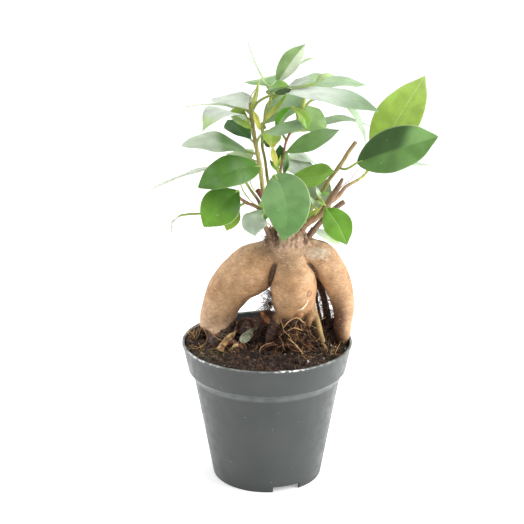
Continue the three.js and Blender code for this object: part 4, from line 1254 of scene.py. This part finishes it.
def hairs(groups, seed, stray):
    """Short curly hair roots. Each group gives a centre, a spread about it, a heading, a count and a length.
    stray is how far each one's heading strays from its group's."""
    draw = np.random.default_rng(seed)
    counts = [group[3] for group in groups]
    centre, spread, heading, length = (repeated(groups, column, counts) for column in (0, 1, 2, 4))
    starts = centre + spread * draw.normal(0, 0.5, centre.shape)
    headings = heading + draw.normal(0, stray, centre.shape)
    length = length * draw.uniform(0.4, 1.6, len(length))
    paths = wandering(starts, headings, length, HAIR_STEPS, HAIR_CURL, draw)
    radii = HAIR_RADIUS * draw.uniform(0.4, 1.5, len(length))[:, None]
    return paths, radii * np.linspace(1.1, 0.4, HAIR_STEPS + 1), draw


DOWN, LEFT, OVER = (0.1, -0.2, -0.7), (-0.8, -0.3, 0.2), (0, -0.6, 0.1)
CLODS_BELOW = 114
HAIR_GROUPS = [
    ((33, 3, 150), (2, 3, 4), DOWN, 70, 9), ((36, 5, 142), (2, 3, 4), DOWN, 90, 10),
    ((38, 7, 134), (3, 4, 5), DOWN, 90, 10), ((41, 8, 125), (4, 4, 5), DOWN, 100, 10),
    ((43, 8, 117), (5, 4, 5), DOWN, 130, 10), ((43, 7, 109), (7, 5, 5), DOWN, 170, 10),
    ((42, 4, 102), (9, 6, 4), DOWN, 190, 10), ((34, 2, 112), (4, 4, 6), DOWN, 120, 10),
    ((32, 2, 126), (2, 4, 6), DOWN, 70, 10), ((3, -4, 135), (1.5, 3, 4), LEFT, 90, 9),
    ((2, -6, 128), (2, 3, 4), LEFT, 150, 10), ((1, -7, 121), (3, 3, 4), LEFT, 150, 11),
    ((-1, -6, 113), (4, 4, 4), LEFT, 100, 11), ((-4, -3, 106), (5, 5, 3), LEFT, 80, 10),
    ((9, -7, 112), (5, 4, 4), OVER, 90, 8), ((15, -10, 110), (6, 4, 4), OVER, 170, 9),
    ((23, -10, 110), (6, 4, 4), OVER, 170, 9), ((30, -9, 110), (5, 4, 5), OVER, 140, 9),
    ((12, -14, 103), (8, 5, 3), OVER, 120, 10), ((24, -15, 102), (8, 5, 3), OVER, 170, 10),
    ((34, -10, 101), (6, 5, 3), OVER, 120, 9),
]
SCRUFF_GROUPS = [
    ((0.5, -8, 175), (2, 2, 5), (-0.8, -0.6, 0.3), 110, 4),
    ((3, -9, 181), (3, 2, 3), (-0.6, -0.8, 0.5), 110, 4),
    ((8, -11, 176), (4, 2, 5), (-0.2, -1, 0.2), 90, 3),
    ((25, -8, 177), (3, 2, 4), (0.6, -0.8, 0.4), 70, 3),
]
LOOP_GROUPS = [
    ((-53, 6, 100), (4, 8, 2), (0.2, -0.5, 0.9), 34, 14),
    ((-46, -10, 98), (6, 6, 2), (0, -0.5, 0.8), 14, 16),
    ((-25, -12, 100), (8, 6, 2), (0, -0.6, 0.5), 26, 13),
    ((16, -21, 104), (12, 8, 2), (0.5, -0.6, -0.2), 22, 17),
    ((23, -14, 112), (7, 4, 6), (0.1, -0.7, -0.2), 44, 12),
    ((44, -20, 98), (8, 8, 1), (0, -0.6, 0.6), 14, 10),
]


def build_hair_roots(fibre, coir):
    """Hair roots between the roots, denser towards the soil, scruff at the crown, long fibres over the soil,
    and clods of coir among the lower hair roots."""
    for name, groups, seed, stray, thick, tints, power, slot in (
        ("hair_roots", HAIR_GROUPS, 81, 0.7, 1, ((36, 23, 17), (134, 86, 58)), 1.5, "root_bark"),
        ("crown_scruff", SCRUFF_GROUPS, 83, 0.7, 1.35, ((70, 52, 40), (164, 132, 104)), 1, "root_bark"),
        ("loop_fibres", LOOP_GROUPS, 84, 1.3, 1.35, ((132, 88, 48), (232, 190, 130)), 1, "potting_soil"),
    ):
        paths, radii, draw = hairs(groups, seed, stray)
        tints = between(*tints, draw.uniform(0, 1, len(paths)) ** power)[:, None, None]
        piece(name, Skins(strands(paths, radii * thick), tints), fibre, slot)
    low = [group for group in HAIR_GROUPS if group[0][2] < CLODS_BELOW]
    counts = [group[3] * 2 // 3 for group in low]
    clods = repeated(low, 0, counts)
    clods = clods + repeated(low, 1, counts) * draw.normal(0, 0.45, clods.shape)
    radii = draw.gamma(4, 0.2, len(clods)).clip(0.3, 1.8)
    tints = between(*SOIL_BROWNS, draw.uniform(0, 1.2, len(clods)))
    piece("coir_clods", pebbles(clods, radii, 82, tints), coir, "potting_soil")


THREADS = [
    ([(46, -4, 206.5), (51, -4, 213), (56, -3, 217), (63, -2, 226)], 0.3, (128, 104, 96)),
    ([(-5.5, -8, 182.5), (-3, -9, 178), (0, -9, 173)], 0.22, (104, 84, 78)),
    ([(-11, -3.5, 266), (-11.5, -4, 273), (-8, -4, 279)], 0.3, (150, 122, 88)),
    ([(-18.5, -12, 218), (-16.5, -13, 212.5), (-12.5, -13, 206.5), (-7, -13, 201)], 0.5, (184, 196, 96)),
    ([(-12, -12, 220.5), (-10.5, -12, 215), (-7.5, -12, 210.5)], 0.4, (194, 200, 108)),
    ([(1, -6, 179), (2.5, -8, 176.5), (4, -9, 174.5)], 1.0, (74, 54, 42)),
    ([(-1, -6, 176.5), (2, -8, 175.5)], 0.8, (84, 62, 48)),
    ([(-1.5, -6, 183.5), (-0.5, -8, 187.5), (2, -8, 186.5), (2, -8, 182.5)], 0.6, (236, 222, 190)),
    ([(0, -7, 180.5), (3, -9, 183.5), (4, -9, 180)], 0.7, (92, 70, 54)),
    ([(20.4, -18.6, 128.7), (23.5, -20, 130.2), (27.2, -19, 134.2), (27.6, -18.4, 137)], 0.55,
     (240, 224, 196)),
    ([(-54, 8, 100), (-54, 6, 108), (-50, 2, 112), (-46, 0, 110), (-42, -6, 102.8), (-47, -12, 97.7)], 0.2,
     (190, 150, 98)),
    ([(14.5, -20, 108.5), (19, -24, 106), (22.5, -26, 102.5), (25, -27, 99.5)], 0.35, (226, 190, 140)),
    ([(11, -18, 115.5), (15.5, -20, 121.5), (20.5, -21, 124), (25.5, -20, 120)], 0.35, (214, 170, 112)),
    ([(14.5, -20, 114.5), (19, -22, 117), (23.5, -21, 115)], 0.3, (222, 180, 124)),
    ([(-5.5, -26, 98), (-4.5, -24, 103), (-0.5, -22, 105), (4.5, -20, 105.5)], 0.25, (176, 138, 92)),
    ([(-24, -15, 99.8), (-21, -15.5, 101.6), (-18.2, -14, 100.2)], 1.5, (196, 168, 124)),
    ([(-27, -13, 100.5), (-25, -13.5, 103), (-22, -12.5, 104)], 1.0, (112, 72, 48)),
]


def build_threads(fibre):
    """Single threads: dry filaments on the stems, scraps of peeling skin, and long loose root fibres. Each
    thins towards its ends as a power of a sine."""
    skins = Skins()
    for points, radius, brown in THREADS:
        path = smooth_path([(*point, radius) for point in points], 8)
        path[:, 3] *= np.sin(np.linspace(0.5, np.pi - 0.35, len(path))) ** 0.6
        skins.add(tube(path, 6), light(brown))
    piece("loose_threads", skins, fibre, "root_bark")


ROOT_VOXEL = 0.75


def build_root_stock(skin):
    """Roots, crown and the dark toe under the left foot, grown into one skin: tubes joined by a fine remesh,
    their creases smoothed, then lumps, wrinkles and rough crown bark pushed out along the surface, and tints
    by height and place."""
    skins = Skins()
    for path in ROOTS.values():
        skins.add(tube(smooth_path(path, 8), 40), (1, 1, 1))
    for path in THIN_ROOTS.values():
        skins.add(tube(smooth_path(path, 8), 16), (1, 1, 1))
    skins.add(tube(smooth_path(CROWN, 8), 40), (1, 1, 1))
    skins.add(tube(smooth_path(DARK_TOE, 8), 24), (1, 1, 1))
    for knob in CROWN_KNOBS + ROOT_KNOBS:
        skins.add(tube(knob_path(*knob), 16), (1, 1, 1))
    made = piece("root_stock_skin", skins, skin, "root_bark", "root_stock")
    made.modifiers.new("joined", "REMESH").mode = "VOXEL"
    made.modifiers["joined"].voxel_size = ROOT_VOXEL * MM
    eased = made.modifiers.new("eased", "SMOOTH")
    eased.factor = 0.5
    eased.iterations = 4
    apply_modifiers(made)
    mesh = made.data
    count = len(mesh.vertices)
    points = np.empty(count * 3)
    mesh.vertices.foreach_get("co", points)
    points = points.reshape(-1, 3) / MM
    normals = np.empty(count * 3, np.float32)
    mesh.vertex_normals.foreach_get("vector", normals)
    normals = normals.reshape(-1, 3)
    crown = crown_share(points)
    valley = valleys(points)
    rim = foot_rim(points)
    relief = 0.45 * clouds(points, 11, 61) + 0.12 * clouds(points, 3, 62) - 1.3 * valley
    relief = relief + crown * (0.9 * bark_ridges(points) + 0.6 * clouds(points, 1.7, 64))
    relief = relief + 0.4 * np.exp(-(((rim - 0.9) / 0.9) ** 2))
    relief = relief + 0.5 * ease(-rim, 0, 1) * clouds(points, 1.6, 74)
    points = points + normals * relief[:, None]
    mesh.vertices.foreach_set("co", (points * MM).ravel())
    mesh.polygons.foreach_set("use_smooth", np.ones(len(mesh.polygons), bool))
    for name in [a.name for a in mesh.attributes if a.name in ("tint", "place")]:
        mesh.attributes.remove(mesh.attributes[name])
    tints = root_tints(points, crown, valley, rim)
    paint(mesh, np.concatenate([tints, crown[:, None]], axis=1))
    mesh.update()


KNOB_RINGS = 9


def knob_path(x, y, z, radius):
    """A ball as a tube: rings whose radii follow a circle."""
    tilt = np.linspace(0.08, 0.92, KNOB_RINGS) * np.pi
    ones = np.ones(KNOB_RINGS)
    return np.stack([x * ones, y * ones, z - radius * np.cos(tilt), radius * np.sin(tilt)], axis=-1)


def bark_ridges(points):
    """1 along the crown bark's upright ridges, and down to -1 in the furrows between."""
    return 1 - 2 * np.abs(clouds(points * (1, 1, 0.5), 3.2, 63))


def outside(points, path, steps):
    """How far each point is outside the nearest of the balls along a smooth path."""
    balls = smooth_path(path, steps)
    return np.min([np.linalg.norm(points - ball[:3], axis=1) - ball[3] for ball in balls], axis=0)


def crown_share(points):
    """1 on the rough crown and 0 on the smooth roots, with a ragged edge between that is higher away from
    the crown's middle."""
    x, y, z = points.T
    away = np.hypot(x - 14, y)
    ragged = 3 * clouds(points, 4, 65)
    return ease(z + ragged - 0.5 * np.maximum(away - 8, 0), 164, 172)


def valleys(points, width=1.5):
    """1 in the creases where the bulb meets the arches, 0 on open skin: how near a point is to both."""
    away = {name: outside(points, path, 6) for name, path in ROOTS.items()}
    both = [np.maximum(away["bulb"], away[arch]) for arch in ("left_arch", "right_arch")]
    open_skin = ease(points[:, 2], 163, 157)
    return np.exp(-((np.clip(np.min(both, axis=0), 0, None) / width) ** 2)) * open_skin


def foot_rim(points):
    """Height over the edge where the left foot's skin ends, and far above it everywhere else. The edge is a
    parabola across the foot, made ragged by two sizes of clouds."""
    across = points[:, 0] + 35
    edge = 108 + 0.25 * across + 0.012 * across**2
    edge = edge + 1.6 * clouds(points, 6, 75) + 0.8 * clouds(points, 1.8, 76)
    return np.where(points[:, 0] < -14, points[:, 2] - edge, 50)


SCARS = [
    (6.5, 147, 1.6, 0.35), (-22, 151, 1.8, 0.35), (-8, 149, 1.3, 0.3), (-30, 137, 1.5, 0.4),
    (12, 131, 2.4, 0.3), (22, 151, 1.4, 0.3), (44, 148, 1.5, 0.35), (38, 160, 1.2, 0.4),
    (14, 160, 0.5, 1.6), (-15, 140, 1.2, 0.3),
]


def scars(points):
    """1 in the middle of each short dark scar on the front. A scar is given by its middle's x and z and by
    half its size along each."""
    x, y, z = points.T
    share = 0
    for middle, height, wide, high in SCARS:
        across = x - middle
        share = share + np.exp(-((across / wide) ** 2) - ((z - height - 0.2 * across) / high) ** 2)
    return np.clip(share, 0, 1) * ease(-y, -4, 0)


def callus(points):
    """1 on the flaking pale callus on the right arch's shoulder: an ellipsoid that small clouds break up."""
    away = np.linalg.norm((points - (34, -7, 166)) / (9, 7, 5), axis=1)
    return ease(away + 0.5 * clouds(points, 1.6, 80), 1.1, 0.5)


THIN_ROOT_BROWNS = {
    "bulb_tail": (150, 112, 74),
    "olive": (158, 134, 82),
    "back_stout": (84, 58, 40),
    "back_thin": (74, 50, 36),
    "dark": (46, 28, 23),
    "stub": (172, 112, 64),
}


def thin_root_tints(points, tint):
    """The tint, changed to each thin root's own brown where that root is the nearest."""
    nearest = np.min([outside(points, path, 4) for path in ROOTS.values()], axis=0).clip(None, 50)
    for name, path in THIN_ROOTS.items():
        away = outside(points, path, 6)
        own = light(THIN_ROOT_BROWNS[name]) * (1 + 0.3 * clouds(points, 2, 78))[:, None]
        tint = blend(tint, own, ease(nearest - away, 0.2, 1.6))
        nearest = np.minimum(nearest, away)
    return tint


KNOB_BROWNS = [(1.2, (160, 120, 82)), (3.1, (152, 106, 66))]


def root_tints(points, crown, valley, rim):
    """Tan skin in soft patches, greyer near the crown, painted shade in the creases and over the right arch's
    inner and lower side, darker just above the soil, brown crown bark, and a pale skin edge over dark wood at
    the left foot."""
    x, y, z = points.T
    patch = 0.5 + 0.5 * clouds(points, 14, 66) + 0.4 * clouds(points, 4, 67)
    tint = between((164, 123, 83), (195, 156, 115), np.clip(patch, 0, 1))
    feet = ease(z, 136, 112) * ease(np.abs(x - 8), 26, 36)
    tint = toward(tint, (214, 180, 146), feet * np.where(x < 0, 0.5, 0.3))
    # Painted shade over the lower right arch.
    low = ease(x, 40, 48) * ease(z, 152, 122)
    tint = toward(tint, (164, 128, 92), 0.5 * low)
    # Painted shade on the right arch's inner lower side, made ragged by clouds.
    inner_side_shade = ease(57 - x + clouds(points, 4, 88), 0, 6) * ease(x, 43, 46) * ease(z, 140, 118)
    tint = toward(tint, (96, 62, 44), 0.85 * inner_side_shade)
    # Painted shade along the wide crease where the right arch faces the bulb.
    inner = valleys(points, 4) * ease(x, 23, 27) * ease(z, 158, 150)
    tint = toward(tint, (98, 66, 46), 0.7 * inner)
    tint = toward(tint, (214, 204, 188), 0.55 * callus(points))
    tint = toward(tint, (70, 44, 30), 0.7 * scars(points))
    tint = thin_root_tints(points, tint)
    for knob, (radius, own) in zip(ROOT_KNOBS, KNOB_BROWNS):
        away = np.linalg.norm(points - np.array(knob[:3]), axis=1) - radius
        tint = toward(tint, (72, 46, 30), 0.75 * np.exp(-(((away - 0.8) / 0.6) ** 2)))
        tint = toward(tint, own, ease(away, 0.8, 0.2))
    grey = ease(z - 0.4 * np.abs(x - 14) + 2 * clouds(points, 6, 68), 148, 168) * 0.6
    tint = toward(tint, (154, 132, 106), grey)
    grit = np.clip(clouds(points, 1.2, 86) * 1.6 - 0.3, 0, 1) * ease(z + 3 * clouds(points, 5, 87), 148, 164)
    tint = toward(tint, (96, 74, 56), 0.6 * grit)
    shade = 0.6 + 0.5 * bark_ridges(points) + 0.35 * clouds(points, 2, 69) - 0.4 * ease(x, 12, 2)
    shade = np.clip(shade + 0.3 * clouds(points, 1.1, 85), 0, 1)
    tint = blend(tint, between((80, 60, 46), (190, 158, 130), shade), crown)
    # Painted shade in the creases where the bulb meets the arches.
    tint = toward(tint, (48, 32, 22), 0.9 * ease(valley, 0.25, 0.9))
    pale = np.exp(-(((rim - 1.5) / 3) ** 2)) * 0.5
    tint = toward(tint, (220, 190, 158), pale)
    wood = np.clip(0.6 + 0.2 * rim + 0.45 * clouds(points, 2.2, 77), 0, 1)
    wood = between((22, 13, 9), (112, 72, 46), wood)
    tint = blend(tint, wood, ease(-rim, 0, 0.8))
    ground = level(x, y)
    # Darker within a few millimetres above the soil's level, and only a little on the dark wood.
    near_soil = ease(z + 1.5 * clouds(points, 4, 70), ground + 7, ground + 1.5)
    return toward(tint, (64, 42, 28), near_soil * np.where(rim < 0, 0.1, 0.8))


CURLS = [
    ([(-21, 11, 101), (-19.5, 11, 107), (-17, 11, 111), (-12.6, 11, 111), (-10, 10, 106), (-11, 9, 100)],
     1.2),
    ([(-26, -9, 99), (-24, -12, 102.5), (-20, -15, 102), (-17, -15, 98.5)], 1.4),
    ([(-25, -13, 99), (-21, -14, 101.5), (-17, -13, 99)], 1.7),
    ([(6, -20, 101), (11, -21, 104), (18, -22, 104), (25, -27, 99.5)], 0.9),
    ([(-3, -16, 99), (2, -18, 102.5), (8, -17, 103)], 1.0),
]


BARK_FLAKES = 200


def build_bark_bits(dry_bark):
    """Curled strips of old bark in the soil, flattened tubes that thin towards their ends, and flakes
    scattered over it."""
    draw = np.random.default_rng(91)
    skins = Skins()
    for points, radius in CURLS:
        path = smooth_path([(*point, radius) for point in points], 6)
        path[:, 3] *= np.sin(np.linspace(0.25, np.pi - 0.25, len(path))) ** 0.5
        rings = tube(path, 10)
        rings = path[:, None, :3] + (rings - path[:, None, :3]) * np.array([1.5, 1.2, 0.6])
        skins.add(rings + 0.2 * clouds(rings, 1.2, 92)[..., None], light((106, 70, 50)))
    places = scatter(BARK_FLAKES, draw)
    radii = draw.gamma(4, 0.24, len(places)).clip(0.4, 1.8)
    tints = between((60, 36, 26), (132, 96, 64), draw.uniform(0, 1, len(places)) ** 2.5)
    piece("bark_curls", skins, dry_bark, "loose_bark")
    piece("bark_flakes", pebbles(places, radii, 93, tints), dry_bark, "loose_bark")


BARK_CHIP = [(-35.5, -17, 98.4), (-32, -18, 98.1), (-20, -5, 108.6), (-22.5, -3.6, 108.6)]
LEAF_SCRAP = [(-18.5, -7, 100.4), (-6.5, 2.5, 108.6)]


def build_scraps(dry_bark, dry_leaf):
    """A bark chip that leans against the soil, a flattened and roughened tube along a line bowed by half a
    sine wave, and a curled dry leaf scrap beside it."""
    start = np.add(BARK_CHIP[0], BARK_CHIP[1]) / 2
    end = np.add(BARK_CHIP[2], BARK_CHIP[3]) / 2
    t = np.linspace(0, 1, 30)[:, None]
    spine = start * (1 - t) + end * t + np.array([0, 0.6, 0.8]) * np.sin(np.pi * t)
    path = np.hstack([spine, 2.1 - 0.9 * t + 0.6 * clouds(spine, 2.6, 71)[:, None]])
    rings = tube(path, 16)
    rings = spine[:, None] + (rings - spine[:, None]) * np.array([1.4, 1, 0.75])
    rings = rings + 0.45 * clouds(rings, 1.3, 72)[..., None]
    patch = np.clip(0.55 + 0.6 * clouds(rings, 2.4, 79), 0, 1)
    skins = Skins(rings, between((96, 62, 40), (196, 160, 112), patch))
    piece("bark_chip_skin", skins, dry_bark, "loose_bark", "bark_chip")
    scrap = leaf([], *LEAF_SCRAP, 8.5, (0.1, -1, 0.7), arch=0.5, fold=36, wave=1, point=0.95, peak=0.24)
    rings, place, _ = blade(scrap, 73)
    piece("leaf_scrap_skin", Skins(rings, (1, 1, 1), place), dry_leaf, "dry_leaf", "leaf_scrap")


FLOOR_HALF = 6
FLOOR_WHITE = (247, 247, 247)
FLOOR_GLOW = 0.3
ROOM_LIGHT = {"From Min": -1, "From Max": 0.5, "To Min": 0.3, "To Max": 1.1}

# Each lamp's place and size in metres, and its power in watts.
LAMPS = {
    "left_lamp": ((-1.0, 0.1, 0.6), 0.7, 5),
    "right_lamp": ((1.0, -0.3, 0.55), 0.7, 16),
    "top_lamp": ((0.1, 0.1, 1.2), 0.9, 9),
}
LAMP_TARGET = (0, 0, 0.15)


def aim(made, place, target):
    """Puts a camera or a lamp at its place, turned to its target."""
    made.location = place
    made.rotation_euler = (Vector(target) - Vector(place)).to_track_quat("-Z", "Y").to_euler()


def build_studio():
    """A white floor that glows a little, a white room that is dimmer towards the viewer, and two soft side
    lamps and one overhead."""
    floor = bpy.data.meshes.new("floor")
    corners = [(x * FLOOR_HALF, y * FLOOR_HALF, 0) for x, y in ((-1, -1), (1, -1), (1, 1), (-1, 1))]
    floor.from_pydata(corners, [], [(0, 1, 2, 3)])
    made = link("floor", floor)
    matte = Finish("floor_white", roughness=0.9, Specular_IOR_Level=0.1)
    matte.colour(FLOOR_WHITE)
    matte.shader.inputs["Emission Color"].default_value = (1, 1, 1, 1)
    matte.shader.inputs["Emission Strength"].default_value = FLOOR_GLOW
    floor.materials.append(matte.material)
    world = bpy.data.worlds.new("studio")
    bpy.context.scene.world = world
    world.use_nodes = True
    nodes, links = world.node_tree.nodes, world.node_tree.links
    way = nodes.new("ShaderNodeTexCoord").outputs["Generated"]
    split = nodes.new("ShaderNodeSeparateXYZ")
    links.new(way, split.inputs[0])
    dim = nodes.new("ShaderNodeMapRange")
    links.new(split.outputs["Y"], dim.inputs["Value"])
    for key, value in ROOM_LIGHT.items():
        dim.inputs[key].default_value = value
    path = nodes.new("ShaderNodeLightPath")
    strength = nodes.new("ShaderNodeMix")
    links.new(path.outputs["Is Camera Ray"], strength.inputs[0])
    links.new(dim.outputs[0], strength.inputs[2])
    strength.inputs[3].default_value = 1.0
    background = nodes["Background"]
    background.inputs["Color"].default_value = (1, 1, 1, 1)
    links.new(strength.outputs[0], background.inputs["Strength"])
    for name, (place, size, power) in LAMPS.items():
        lamp = bpy.data.lights.new(name, "AREA")
        lamp.size = size
        lamp.energy = power
        aim(link(name, lamp), place, LAMP_TARGET)
    bpy.context.scene.view_settings.view_transform = "Standard"


CAMERA_TARGET = (-3.6, 0, 157.5)
CAMERA_DISTANCE = 900
CAMERA_RISE_DEG = 17.9
CAMERA_LENS = 89.2


def build_camera():
    """The photograph's view: along +Y, looking a little down."""
    camera = bpy.data.cameras.new("view")
    camera.lens = CAMERA_LENS
    made = link("view", camera)
    rise = np.radians(CAMERA_RISE_DEG)
    target = Vector(CAMERA_TARGET) * MM
    aim(made, target + Vector((0, -np.cos(rise), np.sin(rise))) * CAMERA_DISTANCE * MM, target)
    bpy.context.scene.camera = made


build_camera()
build_studio()
build_pot(pot_finish())
COIR, FIBRE = soil_finish(), fibre_finish()
build_soil(COIR)
build_crumbs(COIR, perlite_finish(), moss_finish())
build_fibres(FIBRE)
build_hair_roots(FIBRE, COIR)
build_threads(FIBRE)
build_root_stock(root_finish())
build_stems(leaf_finish(), twig_finish())
DRY_BARK = bark_chip_finish()
build_bark_bits(DRY_BARK)
build_scraps(DRY_BARK, dry_leaf_finish())
